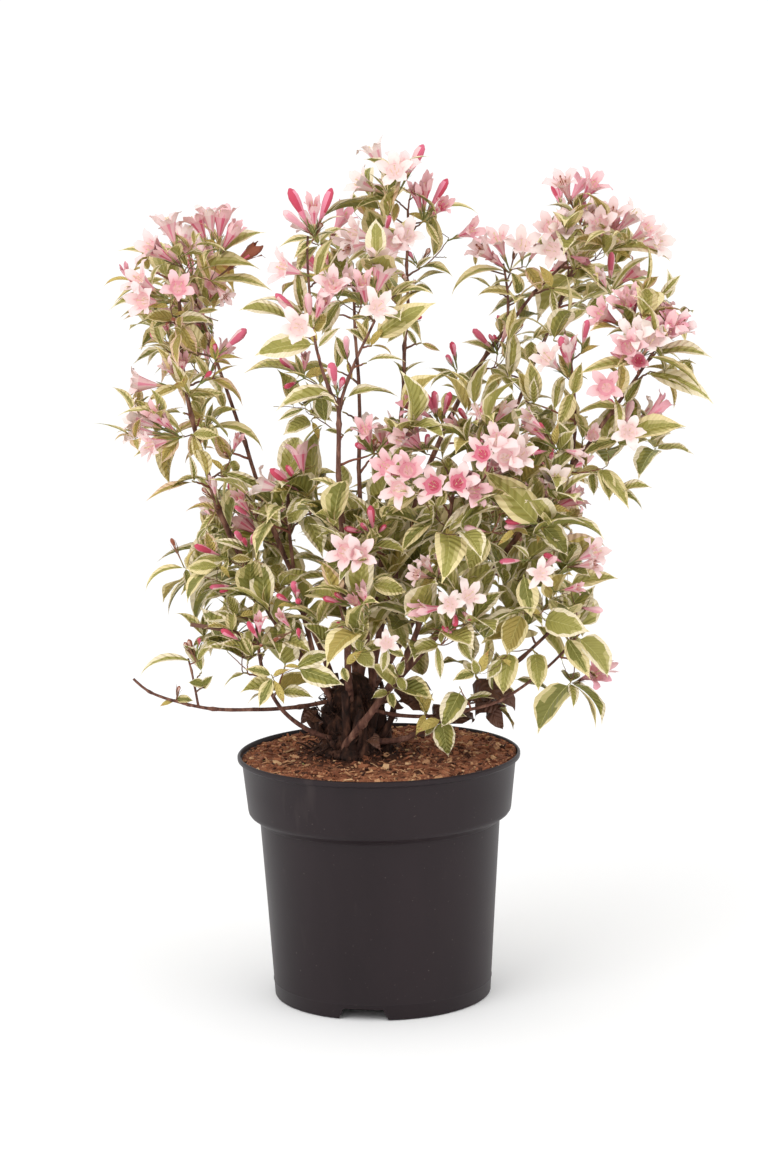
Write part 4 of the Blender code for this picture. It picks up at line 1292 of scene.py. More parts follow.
# the sprays of the good side: region, place, flowers as kind, angle, lean and reach in cm,
# then leaves as angle, length in cm and how far the upper side is turned to the front
# most rows were worked out by another script, from points and depths judged by eye
sprays = [
    ("left", (-0.123, 0.010, 0.599), "open -25 0 4.4, open -5 0 4.7, open 10 0 4.5, half 30 20 4",
     "60 4.7 20"),
    ("left", (-0.140, 0.000, 0.588), "", "85 5.7 20"),
    ("left", (-0.149, 0.000, 0.595), "open -15 0 4.3, bud -30 35 2.4, half -50 35 3.6, open -55 25 4",
     "-75 5.5 35"),
    ("left", (-0.142, 0.020, 0.595), "open -10 35 2.3, half 45 35 1.6", ""),
    ("left", (-0.158, -0.015, 0.570), "star -55 35 4, star -80 55 4, star 35 65 4",
     "-100 5.2 20, -90 2.3 60"),
    ("left", (-0.191, -0.010, 0.587), "", "-100 2.2 15"),
    ("left", (-0.126, 0.010, 0.583), "open 135 35 2.4, spent 55 0 3.9", "100 5 30, 130 2.5 60, -20 3.2 70"),
    ("left", (-0.156, -0.010, 0.553), "small 0 80 1.5, small -105 65 1.5",
     "-85 2.5 50, -110 2.1 40, 95 3.1 40, 150 3.3 70"),
    ("left", (-0.139, 0.010, 0.558), "", "85 1.8 60, -90 0.9 50"),
    ("left", (-0.125, 0.000, 0.523), "bud 45 25 3.8, small -15 0 2.2, small 5 25 1.5",
     "90 2.3 30, -5 2.3 30, 105 1.4 40"),
    ("left", (-0.155, 0.000, 0.501), "open -85 0 4.1, half -25 35 2.8, half 10 35 3.4",
     "-115 2.9 60, -30 4.1 40"),
    ("left", (-0.145, -0.010, 0.494), "small 40 0 2.4", "90 3 65, -25 3.5 50"),
    ("left", (-0.128, 0.010, 0.505), "", "130 3.4 15, 65 2.6 20, -30 2.5 60"),
    ("left", (-0.155, -0.015, 0.462),
     "open -65 0 4.5, open -85 0 4.2, half -45 35 4, open -100 35 3.6, half -35 35 2.8",
     "-70 5.6 20, -110 4.3 45, -145 2.7 60"),
    ("left", (-0.191, -0.010, 0.464), "", "-90 1.8 15"),
    ("left", (-0.145, -0.015, 0.463), "", "95 2.3 60, 165 2.7 60"),
    ("left", (-0.132, 0.015, 0.465), "", "60 3.2 10, 115 4.8 25, -150 2.7 60, 15 2.3 60, -175 1.8 60"),
    ("left", (-0.115, 0.010, 0.442), "half 25 35 2.4, small -35 35 0.6", "-35 1.4 50, 160 1.2 40"),
    ("left", (-0.119, -0.005, 0.433), "", "115 4.1 60, -50 1.7 60"),
    ("left", (-0.115, -0.005, 0.426), "", "-175 2.4 20"),
    ("left", (-0.145, -0.015, 0.426), "", "-110 4.2 12, -10 2.5 40"),
    ("left", (-0.126, -0.010, 0.407), "half -5 35 2.7, small -45 0 1.8", ""),
    ("left", (-0.128, -0.015, 0.400), "", "-90 2.6 15, -140 2.3 75"),
    ("left", (-0.097, -0.020, 0.394), "half -30 35 3.6, bud -50 35 1.4, small 15 30 1.5", "40 2.4 30"),
    ("left", (-0.099, -0.030, 0.372), "short -30 30 2.4, short -15 35 1.7, short 15 35 2.3", "-75 3.2 50"),
    ("left", (-0.120, -0.030, 0.366), "bud -60 35 3.2", "95 1.8 55, -100 3.2 70, -160 1.9 40"),
    ("left", (-0.126, -0.035, 0.348), "", "-120 2.7 25, -115 2.1 50"),
    ("left", (-0.153, -0.030, 0.359), "small -20 0 2.4", "175 1.8 45, 25 1.9 10, -120 3.8 15"),
    ("left", (-0.109, -0.035, 0.344), "bud -85 35 2.2, short -100 35 2", "-20 1.6 60"),
    ("front", (-0.042, -0.040, 0.619),
     "bud -25 0 4.2, bud -45 35 3.8, half 0 35 3.7, bud 20 0 4, small 30 25 1.5",
     "-105 3 35, -135 2.2 70, 55 3.2 5, 90 2 20"),
    ("front", (-0.039, -0.050, 0.588), "open -70 30 4", "-105 2.3 15, 45 1.4 40"),
    ("front", (-0.047, -0.060, 0.550),
     "bud -45 0 3.9, bud -5 35 3.4, half 20 35 3.7, open 30 0 4.6, star -70 75 4",
     "-70 5.3 8, -15 3.2 45, 40 2 60"),
    ("front", (-0.044, -0.065, 0.538), "", "-100 4.8 60, 50 2.4 60, -20 2.2 60"),
    ("front", (-0.026, -0.040, 0.570), "half 25 35 3.1, open -15 65 4", "90 1.4 50, -150 3 60"),
    ("front", (-0.003, -0.050, 0.558), "open 10 0 5.3, open 25 0 4.3, star 40 70 4, half -5 35 4",
     "-170 2.2 60, -100 1.6 60"),
    ("front", (0.005, -0.055, 0.542), "", "60 5.6 60, 50 1.6 40"),
    ("front", (0.016, -0.045, 0.572), "", "85 3.4 20, 60 2.4 30"),
    ("front", (0.000, -0.060, 0.535), "", "-55 2.4 40, 40 2 60, -30 2.5 60, 125 2 20"),
    ("front", (-0.004, -0.065, 0.522), "", "90 3.3 15"),
    ("front", (-0.027, -0.076, 0.499), "bud -10 45 3.8, short 20 45 2.4", "-105 5.1 25"),
    ("front", (-0.019, -0.065, 0.524), "bud 0 35 2.6", "165 1.5 65, -25 2.2 50"),
    ("front", (-0.021, -0.076, 0.497), "", "90 4.2 18"),
    ("front", (-0.054, -0.040, 0.509), "short -50 0 2.5, short -110 35 1.9, half 5 35 2.6",
     "-85 4.8 8, 75 2.2 60, -20 2.2 50"),
    ("front", (-0.053, -0.040, 0.485), "", "-115 2.5 50, 115 2.2 60"),
    ("front", (-0.048, -0.025, 0.472), "", "-115 2.6 55, 85 1.4 40, -115 1.2 10, 160 1.7 50"),
    ("front", (-0.023, -0.065, 0.466), "", "60 1.1 20, -70 1.4 30"),
    ("front", (-0.052, -0.045, 0.415), "open -5 0 4.2, bud -45 20 3.8, short -30 0 3.1, open -70 0 4.2",
     "-80 3.1 20, -145 2.7 70, 45 1.3 30"),
    ("crown", (0.020, 0.040, 0.645),
     "open -65 15 4, open -20 0 4.8, open 15 35 4, bud 30 0 5, half -35 35 1.8",
     "-100 3.6 30, -170 1.8 60"),
    ("crown", (0.024, 0.030, 0.657), "star -15 70 4", "50 3.8 12, -55 3.5 12"),
    ("crown", (0.046, 0.045, 0.626), "half -10 35 3.9, half 5 25 4, bud 30 0 3.9, half 45 55 4",
     "85 4.4 15, 150 2.5 75, -70 1.6 40"),
    ("crown", (0.064, 0.050, 0.612), "open 65 35 3.1", ""),
    ("crown", (0.026, 0.030, 0.606), "star 10 70 4, star -50 75 4", "-45 2.4 40, 20 2.9 40"),
    ("crown", (0.008, 0.020, 0.613), "open -70 35 3.5, bud 15 35 1.5, open -100 35 3.9",
     "-120 3.9 20, -45 1.9 20, -110 2.4 50"),
    ("crown", (0.042, 0.045, 0.589), "small -35 0 1.6, small 30 0 1.9",
     "105 2.9 15, -70 2.4 20, 55 1.8 50"),
    ("crown", (0.034, 0.042, 0.574), "small -35 30 1.5, small 20 35 1",
     "70 3.2 15, -85 1.8 20, 110 1.9 10"),
    ("crown", (0.029, 0.040, 0.543), "small 60 10 1.5", "-125 1.9 50, 150 1.7 50"),
    ("crown", (0.040, 0.030, 0.529), "", "115 1.8 70"),
    ("crown", (0.024, 0.035, 0.503), "", "-30 1.7 10, 40 1.2 10, 55 2.4 10"),
    ("crown", (0.068, 0.000, 0.511), "short -30 35 2.1, short -10 25 2.4", "-125 2.7 35, 120 1.3 60"),
    ("crown", (0.067, 0.000, 0.493), "", "-70 1.4 10, 70 1.2 10"),
    ("right", (0.115, 0.060, 0.585), "open -45 25 4, open -20 30 4, small 15 0 2.2, half -45 35 2.7",
     "-110 5.1 15"),
    ("right", (0.117, 0.055, 0.579), "", "-105 1.8 20, 100 2.1 30"),
    ("right", (0.127, 0.060, 0.587), "open 0 55 4, half 25 35 2.2", "150 2.6 50"),
    ("right", (0.102, 0.050, 0.520), "bud -40 35 3.6, small -25 0 1.5, small -10 0 1.7, bud 20 35 3.3",
     "-70 3.1 30, 110 3.4 25"),
    ("right", (0.115, 0.065, 0.529), "small -30 0 2.1, small 35 10 1.5", "20 1.9 10"),
    ("right", (0.098, 0.045, 0.506), "", "-130 1.8 60, 135 2.8 20, 155 1.7 50"),
    ("right", (0.132, 0.050, 0.529), "", "70 1.5 20, 35 0.8 60, 180 2.3 60"),
    ("right", (0.124, 0.035, 0.491), "", "-40 2.5 15, 145 0.7 60, -30 1.4 15"),
    ("right", (0.166, 0.060, 0.630), "open -25 30 4, open 30 35 4, small 15 0 1.6", "-70 2.9 15"),
    ("right", (0.156, 0.050, 0.599), "star -25 45 4, star 5 50 4, open -65 70 4, half 110 35 1.1",
     "-130 1.3 50, 65 2.9 30"),
    ("right", (0.172, 0.065, 0.619), "open 40 65 4, half 10 35 1.8", ""),
    ("right", (0.192, 0.050, 0.607), "open -20 55 4, open 10 35 3.6, open 45 10 4, half 25 35 2.3",
     "-100 2.4 50"),
    ("right", (0.205, 0.045, 0.604), "open 50 35 3.6, open 80 35 4", ""),
    ("right", (0.193, 0.040, 0.601), "", "100 5.2 50, -75 3.1 30, 115 2.1 40"),
    ("right", (0.191, 0.030, 0.566), "half -25 35 2.5", "50 4.8 5, -50 2.8 60"),
    ("right", (0.147, 0.040, 0.571), "", "110 3 70, 170 2.6 60, -30 2.1 60"),
    ("right", (0.166, 0.050, 0.585), "", "5 1.5 60, 60 2.2 40, -25 2.6 40"),
    ("right", (0.181, 0.010, 0.565), "", "-130 4.1 8, -150 1.9 40"),
    ("right", (0.226, 0.000, 0.567), "", "45 2.5 80"),
    ("right", (0.205, -0.025, 0.540),
     "open -60 30 4, open -20 35 3.7, half -10 30 4, half 0 30 4, bud 20 35 2.9",
     "-100 2.1 15"),
    ("right", (0.226, -0.030, 0.525), "open 0 0 4, open 25 35 4, star 20 55 4, open 40 35 4", "95 4.7 35"),
    ("right", (0.209, -0.040, 0.517),
     "star -10 45 4, star -30 60 4, half -20 80 4, star 20 50 4, half -55 35 2.4",
     "-100 5 55"),
    ("right", (0.219, -0.035, 0.509), "", "115 5.7 55, 125 1.2 50"),
    ("right", (0.240, 0.000, 0.559), "", "155 3.4 40"),
    ("right", (0.167, -0.030, 0.525), "bud 5 35 3.4", "65 1.8 40, 25 1.4 40"),
    ("right", (0.157, -0.030, 0.508), "bud -15 30 3.8, half -10 35 3.5, short 5 0 3.3", "-25 2.3 40"),
    ("right", (0.188, -0.030, 0.493), "star -40 75 4, small 50 20 1.5", ""),
    ("right", (0.199, -0.035, 0.484), "", "-100 3.8 20, 35 2.5 60"),
    ("right", (0.154, -0.020, 0.504), "open -40 45 4, half 0 35 3.3", "-150 0.7 20, 100 1.8 20"),
    ("right", (0.201, -0.040, 0.459), "star 0 75 4, half 50 0 4.5", "80 4.8 50"),
    ("right", (0.197, -0.045, 0.457), "", "-115 3.6 40"),
    ("right", (0.158, -0.035, 0.494), "", "-155 3.1 80, 15 2.7 40"),
    ("right", (0.176, -0.040, 0.454), "half -20 70 4", "-40 2.1 30"),
    ("right", (0.184, -0.040, 0.435), "", "145 4 45, 165 2.7 10"),
    ("right", (0.174, -0.040, 0.432), "", "145 1.9 15, 175 2 20"),
    ("right", (0.155, -0.050, 0.432), "", "-50 0.9 30, 130 1.6 30"),
    ("right", (0.142, -0.060, 0.454), "half -45 20 4, small -35 0 2.2, half 100 35 1.5",
     "-80 3.2 15, 125 2.9 20, 10 1.9 30, 40 2.3 20"),
    ("right", (0.137, -0.060, 0.452), "bud -90 35 1.7", ""),
    ("right", (0.134, -0.070, 0.407), "open 15 35 3.6", "-150 1.5 50, 100 2.1 60"),
    ("right", (0.128, -0.075, 0.393), "bud -85 35 3.3", "140 3.4 50, -115 3.1 30, -170 2 60"),
    ("right", (0.126, -0.010, 0.483), "", "0 2.3 30, -25 2.9 50, -45 3 15, -5 3.6 40"),
    ("centre", (0.050, -0.060, 0.474), "bud -25 35 3.3, bud -5 35 3.2, bud 15 35 3.2, half -50 35 3.8",
     "-90 1.5 20, -30 1.8 50"),
    ("centre", (0.053, -0.080, 0.447), "", "25 2.7 15, -85 1.2 60"),
    ("centre", (0.077, -0.060, 0.469), "bud -30 35 2.4, bud 25 35 2.2, half -65 35 2.6", "-135 1.6 40"),
    ("centre", (0.092, -0.065, 0.470), "half 35 35 3.4, open -20 35 1.5", "75 2 20"),
    ("centre", (0.137, -0.070, 0.466), "half -50 35 3.4, short -45 35 1.3", "-100 2.7 15"),
    ("centre", (0.094, -0.085, 0.447),
     "rosy -35 65 4, star 5 55 4, open 45 70 4, half 0 85 1.9, open 90 35 2.3",
     ""),
    ("centre", (0.109, -0.075, 0.441), "open 25 65 4, half 20 35 3", "75 2 60"),
    ("centre", (0.056, -0.090, 0.423), "rosy -50 65 4, rosy 35 65 4, star 70 55 4", ""),
    ("centre", (0.082, -0.080, 0.429), "half -40 75 4, half 130 35 1.2", ""),
    ("centre", (0.028, -0.090, 0.431), "star -10 65 4, star -50 45 4, star -85 70 4",
     "-65 3.8 20, -75 3.4 15"),
    ("centre", (0.002, -0.070, 0.452), "open -15 35 3.1, short -55 35 2, small 5 35 1.4, small 25 35 1.5",
     "-50 2.2 40"),
    ("centre", (0.039, -0.080, 0.453), "open -30 35 3.4, half -40 35 1.4, short 15 35 1.9, open -55 35 3.1",
     "35 2.2 30"),
    ("centre", (0.126, -0.095, 0.398), "short -85 0 2.4", "-45 6.1 80"),
    ("centre", (0.128, -0.090, 0.396), "", "65 1.8 40"),
    ("centre", (0.034, -0.095, 0.428), "", "-130 3.7 50"),
    ("centre", (0.045, -0.095, 0.407), "", "-135 4 30, -110 1.8 40"),
    ("centre", (0.050, -0.098, 0.393), "", "-120 3.7 20, -115 1.7 30"),
    ("centre", (0.098, -0.095, 0.412), "", "-110 4.9 40, -50 1.5 40"),
    ("centre", (0.054, -0.095, 0.398), "", "150 1.9 75"),
    ("centre", (0.091, -0.095, 0.392), "bud -75 35 2.3", "-155 3.2 60"),
    ("centre", (0.110, -0.090, 0.393), "", "-130 1.9 70, 110 1.1 30"),
    ("centre", (0.118, -0.090, 0.371), "bud -85 35 2.8", "-50 1.8 40"),
    ("centre", (0.001, -0.085, 0.391),
     "bud -5 35 3.3, short -35 35 1.9, short -75 15 2.4, short 40 35 1.4, small 145 35 1.2",
     "50 1.9 40, -35 2.7 40"),
    ("centre", (-0.013, -0.090, 0.372), "star 10 75 4, open -45 65 4", "-20 1.9 40, 115 1.3 40"),
    ("centre", (0.002, -0.095, 0.356), "", "105 2.9 65, -70 2.1 30, 65 1.7 40"),
    ("centre", (0.048, -0.095, 0.356), "half -30 35 2.5, half 10 35 2.5, open -70 35 2.2",
     "120 1.6 40, -120 1.6 40"),
    ("centre", (0.062, -0.098, 0.337),
     "star -40 75 3, star 40 55 3.1, half -90 35 3.9, short -175 60 2.4, short 130 35 1.9",
     ""),
    ("centre", (0.125, -0.090, 0.358), "star 25 80 2.9, bud 40 35 2.7", ""),
    ("centre", (-0.004, -0.098, 0.330), "half -40 35 2.8, half -20 35 3.1", ""),
    ("centre", (0.114, -0.098, 0.359), "", "170 3.6 85"),
    ("low", (0.111, -0.090, 0.328), "", "-115 3.8 45, -160 3.6 75"),
    ("low", (0.128, -0.085, 0.325), "", "105 3.8 75, -70 1.9 40"),
    ("low", (0.147, -0.070, 0.306), "", "150 3.8 70"),
    ("low", (0.158, -0.070, 0.305), "", "145 4.4 40"),
    ("low", (0.151, -0.070, 0.346), "", "85 4 50"),
    ("low", (0.138, -0.080, 0.342), "half 75 35 2.2, short -25 35 1.9", ""),
    ("low", (0.156, -0.070, 0.330), "bud 95 35 2", ""),
    ("low", (0.150, -0.070, 0.363), "open 55 35 3.5, open 75 35 2.9, bud -60 35 2", "115 2 30"),
    ("low", (0.004, -0.095, 0.305), "star 10 70 2.5", ""),
    ("low", (0.007, -0.095, 0.305), "", "-170 2.1 80, 120 1.6 60"),
    ("low", (0.050, -0.090, 0.303), "", "175 3 70, -115 2.7 40, 45 2.1 20"),
    ("low", (0.076, -0.090, 0.280), "", "-105 1.9 60, 20 2.3 60, -15 1.1 60"),
    ("low", (0.097, -0.090, 0.288), "", "-145 2.1 75, 130 1.7 50"),
    ("low", (0.104, -0.080, 0.295), "", "-170 3.4 70"),
    ("low", (0.122, -0.070, 0.295), "", "175 3.1 30"),
    ("low", (0.065, -0.080, 0.307), "short -40 45 2.4, short 30 50 2.4", "150 2.1 60, 80 1.9 50"),
    ("low", (0.065, -0.060, 0.264), "", "-150 3.2 70"),
    ("low", (0.051, -0.050, 0.235), "", "170 3 80, 85 2.2 30, -115 2.3 60, -145 1.8 50"),
    ("low", (0.037, -0.050, 0.241), "", "-35 2.6 30, -15 1.9 60, -155 1.9 70, 25 1.8 50"),
    ("low", (0.069, -0.060, 0.254), "", "95 2.9 20"),
    ("low", (0.010, -0.060, 0.261), "", "-110 1.5 50, 165 1.4 50"),
    ("low", (0.016, -0.085, 0.279), "", "155 1.4 50, -40 1.7 50, 25 1 60"),
    ("low", (-0.103, -0.070, 0.306), "bud -50 35 2.6", "-75 2.4 30, -100 2 20"),
    ("low", (-0.091, -0.080, 0.307), "bud -25 35 2, half 0 35 2.4, small 135 85 0.9", ""),
    ("low", (-0.063, -0.085, 0.314), "half -35 35 2.2, small -115 0 1.6", ""),
    ("low", (-0.059, -0.085, 0.303), "short 0 35 1.3", ""),
    ("low", (-0.059, -0.090, 0.287), "", "110 3.9 75, 70 3.5 45, -85 1.2 40"),
    ("low", (-0.094, -0.080, 0.295), "", "-70 2.9 25, -30 2.3 40"),
    ("low", (-0.083, -0.080, 0.280), "", "-75 2.2 50, 160 2.3 60, -155 2.7 60, 70 1.6 50"),
    ("low", (-0.075, -0.070, 0.264), "", "100 2.6 50, -90 3.2 20"),
    ("low", (-0.106, -0.060, 0.278), "", "-125 2.2 10"),
    ("low", (-0.027, -0.093, 0.288), "", "165 0.9 80, 50 1.8 60"),
    ("low", (-0.017, -0.093, 0.300), "", "25 2.7 70, -30 2.4 50, 140 2.4 70"),
    ("low", (-0.024, -0.090, 0.308), "short -25 35 2", ""),
    ("low", (-0.060, -0.080, 0.337), "short -5 35 2.4, short 10 35 1.7, short -50 35 2.1, short 10 75 2.4",
     "-90 1.3 50"),
    ("low", (-0.021, -0.095, 0.339), "short -70 20 2.4, short -45 35 1.8", "-70 1.7 50, 180 1.1 80"),
    ("low", (-0.143, -0.040, 0.284), "small -35 0 1.9, small -15 0 1.7, small 10 0 2.1",
     "-105 4.5 18, 45 2.1 25"),
    ("low", (-0.137, -0.035, 0.264), "", "-80 0.8 50, 40 0.7 50"),
    ("low", (-0.163, -0.032, 0.252), "small 15 20 1.5", "-110 1.1 50, 95 1.5 50"),
    ("low", (-0.113, -0.050, 0.322), "", "-100 2.4 50, 80 1.8 60, -25 2.1 40"),
    ("low", (-0.093, -0.060, 0.337), "", "-85 2.7 30, -165 1.1 60, 110 1.4 50"),
    ("low", (-0.122, -0.050, 0.365), "", "-95 2.8 75, -140 4.3 25, 145 1.3 50"),
    ("right", (0.190, -0.040, 0.412), "", "80 3.0 20, 125 2.7 20"),
    ("right", (0.250, -0.030, 0.498), "", "-70 3.3 20, 10 2.0 30"),
    ("front", (-0.066, -0.040, 0.556), "", "-80 4.0 30, 60 2.0 40"),
    ("right", (0.121, 0.055, 0.565), "", "-90 3.2 40, -20 2.0 40"),
    ("left", (-0.186, -0.010, 0.578), "half -20 35 2.4", "70 2.4 40"),
    ("low", (0.030, 0.030, 0.285), "", "-60 4.0 30, 70 4.2 50, 170 3.6 70"),
    ("low", (-0.060, 0.025, 0.290), "", "-70 4.0 30, 50 4.0 50, 175 3.4 70"),
    ("low", (0.070, 0.020, 0.300), "", "-50 4.2 60, 100 4.0 30, 165 3.6 60"),
    ("back", (-0.020, 0.045, 0.300), "", "-90 4.4 40, 80 4.4 50, 175 3.6 70"),
    ("low", (0.010, 0.020, 0.315), "", "-75 4.2 50, 60 4.2 60, 160 3.4 60"),
    ("right", (0.236, 0.020, 0.561), "", "0 2.6 15"),
    ("right", (0.230, 0.045, 0.562), "", "140 2.4 60"),
]

# sky shows through here: centre and half sizes in cm, seen from the front at the pot's middle
openings = [
    (-9.0, 60.0, 1.2, 6.0), (-10.8, 55.2, 1.8, 1.6), (-9.8, 50.0, 1.4, 7.0), (-9.3, 44.5, 2.0, 2.0),
    (7.0, 54.5, 2.3, 3.5), (6.5, 59.5, 1.8, 1.5), (-0.5, 48.5, 1.6, 2.2), (-2.8, 45.5, 0.8, 1.5),
    (13.0, 49.5, 1.0, 1.5), (10.5, 64.0, 2.0, 1.5), (-13.0, 27.0, 1.5, 1.0), (-16.5, 27.0, 1.5, 1.0),
    (12.5, 26.5, 1.5, 1.5), (18.5, 29.5, 1.8, 4.0), (-1.1, 43.0, 1.2, 2.2), (-15.7, 38.9, 1.3, 2.4),
    (2.8, 62.0, 1.3, 2.6),
]

# the outline's height in cm, from left to right across the front
skyline = [
    (-22, 56), (-19, 60), (-17, 62), (-15, 63), (-12, 63.5), (-10.5, 61.5), (-9, 57), (-7.5, 61), (-6, 63.5),
    (-3.5, 63.5), (-2, 65), (0, 67), (4, 67.5), (6, 65), (7.5, 62), (9.5, 60.5), (11, 60), (12.5, 62.5),
    (15, 65.5), (18, 65.5), (20, 63), (22, 62), (24, 60), (26, 56), (28, 53),
]

growth = {
    # between the tips that fill a mass
    "spacing": {
        "left": 0.028, "front": 0.0275, "crown": 0.026, "right": 0.029, "centre": 0.0235, "low": 0.0235,
        "back": 0.029,
    },
    "reach": 0.72,  # share of a mass that holds tips
    "nodeSpacing": (0.019, 0.026),
    "leafLength": (0.036, 0.056),
    "lowDroop": -0.45,
    "backBlossom": 0.50,
    "innerBlossom": 0.12,
    "filling": 0.85,
    "massShare": 0.95,  # share of a mass's box that its leaves are grown in
    "triesForTip": 60,
    "twigSway": 0.05,
    "twigShiver": 0.0004,
    "twigStep": 0.006,
    "brownTwigs": 0.6,  # share of the twigs that are brown, the others being red
    "stalk": 0.0005,
    "soilLevel": 0.207,  # no leaf hangs below this
    "bareSideShare": 0.08,  # share of a pair's leaves that are missing
    "twigSides": 5,
    "stalkSides": 4,
    "twigStations": 9,
    "clearance": 0.012,  # a twig leaves its carrier at least this far from its tip
    "dressed": 0.55,  # share of a stem, from its tip down, that bears its own leaves
    "stray": 0.012,  # foliage may stand this far outside the masses' box
    "seed": 44,
}
eye = Vector((0.0067, -2.5, 0.74))
flowerStalk = 2.0  # stands in place of a twig's chance of being brown

woody = {"place": [], "ahead": [], "thick": []}
grown = {region: {"leaves": [], "blooms": [], "twigs": []} for region in regions}


def addWood(path, thick, thin, skip=0.0):
    path = np.array(path)
    ahead = np.gradient(path, axis=0)
    ahead /= np.linalg.norm(ahead, axis=1)[:, None]
    for index in range(int(len(path) * skip), len(path)):
        share = index / (len(path) - 1)
        woody["place"].append(path[index])
        woody["ahead"].append(ahead[index])
        woody["thick"].append(thick + (thin - thick) * share)


def nearestWood(place):
    # the wood that a twig to this place would leave, from below rather than from above
    points = np.array(woody["place"])
    away = np.array(place) - points
    distance = np.linalg.norm(away, axis=1)
    climb = (points[:, 2] - place[2] + 0.3 * distance) / np.maximum(distance, 1e-6)
    ahead = np.array(woody["ahead"])
    back = np.maximum(0, -(away * ahead).sum(1) / np.maximum(distance, 1e-6))
    cost = distance * (1 + 0.8 * np.maximum(0, climb) + 0.5 * back)
    cost[distance < growth["clearance"]] = 9
    index = int(np.argmin(cost))
    return index, distance[index]


def seenFromFront(point):
    # where a point shows, as cm across and up at the pot's middle
    depth = (point[1] - eye.y) / -eye.y
    return (eye.x + (point[0] - eye.x) / depth) * 100, (eye.z - (eye.z - point[2]) / depth) * 100


def inOpening(point, slack=1.0):
    across, high = seenFromFront(point)
    if high > np.interp(across, *zip(*skyline)):
        return True
    return any(
        ((across - x) / (w * slack)) ** 2 + ((high - z) / (h * slack)) ** 2 < 1 for x, z, w, h in openings
    )


def insideBox(point):
    stray = growth["stray"]
    return all(cadBox[0][a] - stray < point[a] < cadBox[1][a] + stray for a in range(3))


def addLeaf(region, place, direction, upper, length, tint, rng, young=False):
    if young:
        shape = youngFrom + rng.randrange(leaf["youngShapes"])
    else:
        weights = (48, 46, 6) if region == "left" else (42, 48, 10) if place[2] > 0.48 else (14, 46, 40)
        first, count = leafClass[rng.choices(("slim", "medium", "broad"), weights=weights)[0]]
        shape = first + rng.randrange(count)
    across = rng.uniform(0.92, 1.08)
    grown[region]["leaves"].append((shape, facing(direction, upper, length, across), tuple(place), tint))


def leafTint(rng, region, high):
    if region == "left" and high > 0.40:
        return rng.choices((0, 1, 2, 3, 4, 5, 6), weights=(14, 3, 26, 10, 22, 20, 5))[0]
    if high > 0.50:
        return rng.choices((0, 1, 2, 3, 4, 5), weights=(26, 16, 26, 14, 12, 8))[0]
    return rng.choices((0, 1, 2, 3, 4, 5), weights=(34, 26, 18, 12, 8, 2))[0]


def growTwig(region, place, rng, bend=0.10):
    # a twig from the nearest wood, curving up into the spray; returns its path
    index, distance = nearestWood(place)
    foot = Vector(woody["place"][index])
    ahead = Vector(woody["ahead"][index])
    place = Vector(place)
    length = (place - foot).length
    pull = foot.lerp(place, 0.5) + ahead * 0.16 * length - Vector((0, 0, bend * length))
    pull += anyWay(rng) * growth["twigSway"] * length
    count = max(growth["twigStations"], int(length / growth["twigStep"]))
    path = []
    for step in range(count):
        t = step / (count - 1)
        point = foot * (1 - t) ** 2 + pull * 2 * t * (1 - t) + place * t * t
        if 0 < step < count - 1:
            point += anyWay(rng) * growth["twigShiver"]
        path.append(point)
    thick = min(woody["thick"][index] * 0.8, 0.0009 + 0.009 * length)
    thin = min(thick * 0.8, 0.00065)
    grown[region]["twigs"].append((path, thick, thin, rng.random()))
    addWood(path, thick, thin, 0.35)
    return path


def pathAt(path, back):
    # the place and heading this far back from the path's end
    for step in range(len(path) - 1, 0, -1):
        span = (path[step] - path[step - 1]).length
        if back <= span:
            return path[step].lerp(path[step - 1], back / span), (path[step] - path[step - 1]).normalized()
        back -= span
    return None, None


def outwards(place):
    away = Vector((place.x + 0.01, place.y, 0))
    return away.normalized() if away.length > 0.01 else Vector((0, -1, 0))


def leafPair(region, place, heading, turn, length, rng, tip, droop):
    # two leaves opposite each other, turned about the twig
    across = heading.orthogonal().normalized()
    across.rotate(Matrix.Rotation(turn, 3, heading))
    for side in (-1, 1):
        if rng.random() < growth["bareSideShare"]:
            continue
        direction = across * side * rng.uniform(0.75, 1.0)
        direction += heading * rng.uniform(0.30, 0.65) * (1.5 if tip else 1.0)
        direction += Vector((0, 0, rng.uniform(-0.25, 0.25) + droop))
        direction += outwards(place) * rng.uniform(0.0, 0.35)
        direction.normalize()
        size = length * rng.uniform(0.82, 1.12)
        end = place + direction * size
        if inOpening(end) or inOpening(place.lerp(end, 0.55)) or inOpening(place, 0.8):
            continue
        if end.z < growth["soilLevel"] or not insideBox(end):
            continue
        upper = Vector((0, 0, 1)) + outwards(place) * rng.uniform(0.0, 0.5)
        upper += Vector((rng.uniform(-1, 1), rng.uniform(-1, 1), 0)) * 0.25
        tint = leafTint(rng, region, place.z)
        addLeaf(region, place, direction, upper, size, tint, rng)


def addBloom(region, place, kind, direction, reach, rng):
    size = bloomLength[kind]
    scale = min(1.10, max(0.72, reach / size)) * rng.uniform(0.97, 1.03)
    mouth = Vector(place) + direction * reach
    base = mouth - direction * size * scale
    if (base - Vector(place)).dot(direction) < 0:
        base = Vector(place)
    lean = facing(direction, anyWay(rng), scale)
    turn = np.stack([lean[:, 2], lean[:, 0], lean[:, 1]], 1)  # the flower opens along its own Z
    shape = bloomFirst[kind] + rng.randrange(bloom["variants"])
    grown[region]["blooms"].append((shape, turn, tuple(base), rng.choice(bloomTintChoice[kind])))
    if (base - Vector(place)).length > 0.001:
        stalk = [Vector(place), base.lerp(Vector(place), 0.5), base]
        grown[region]["twigs"].append((stalk, growth["stalk"], growth["stalk"], flowerStalk))


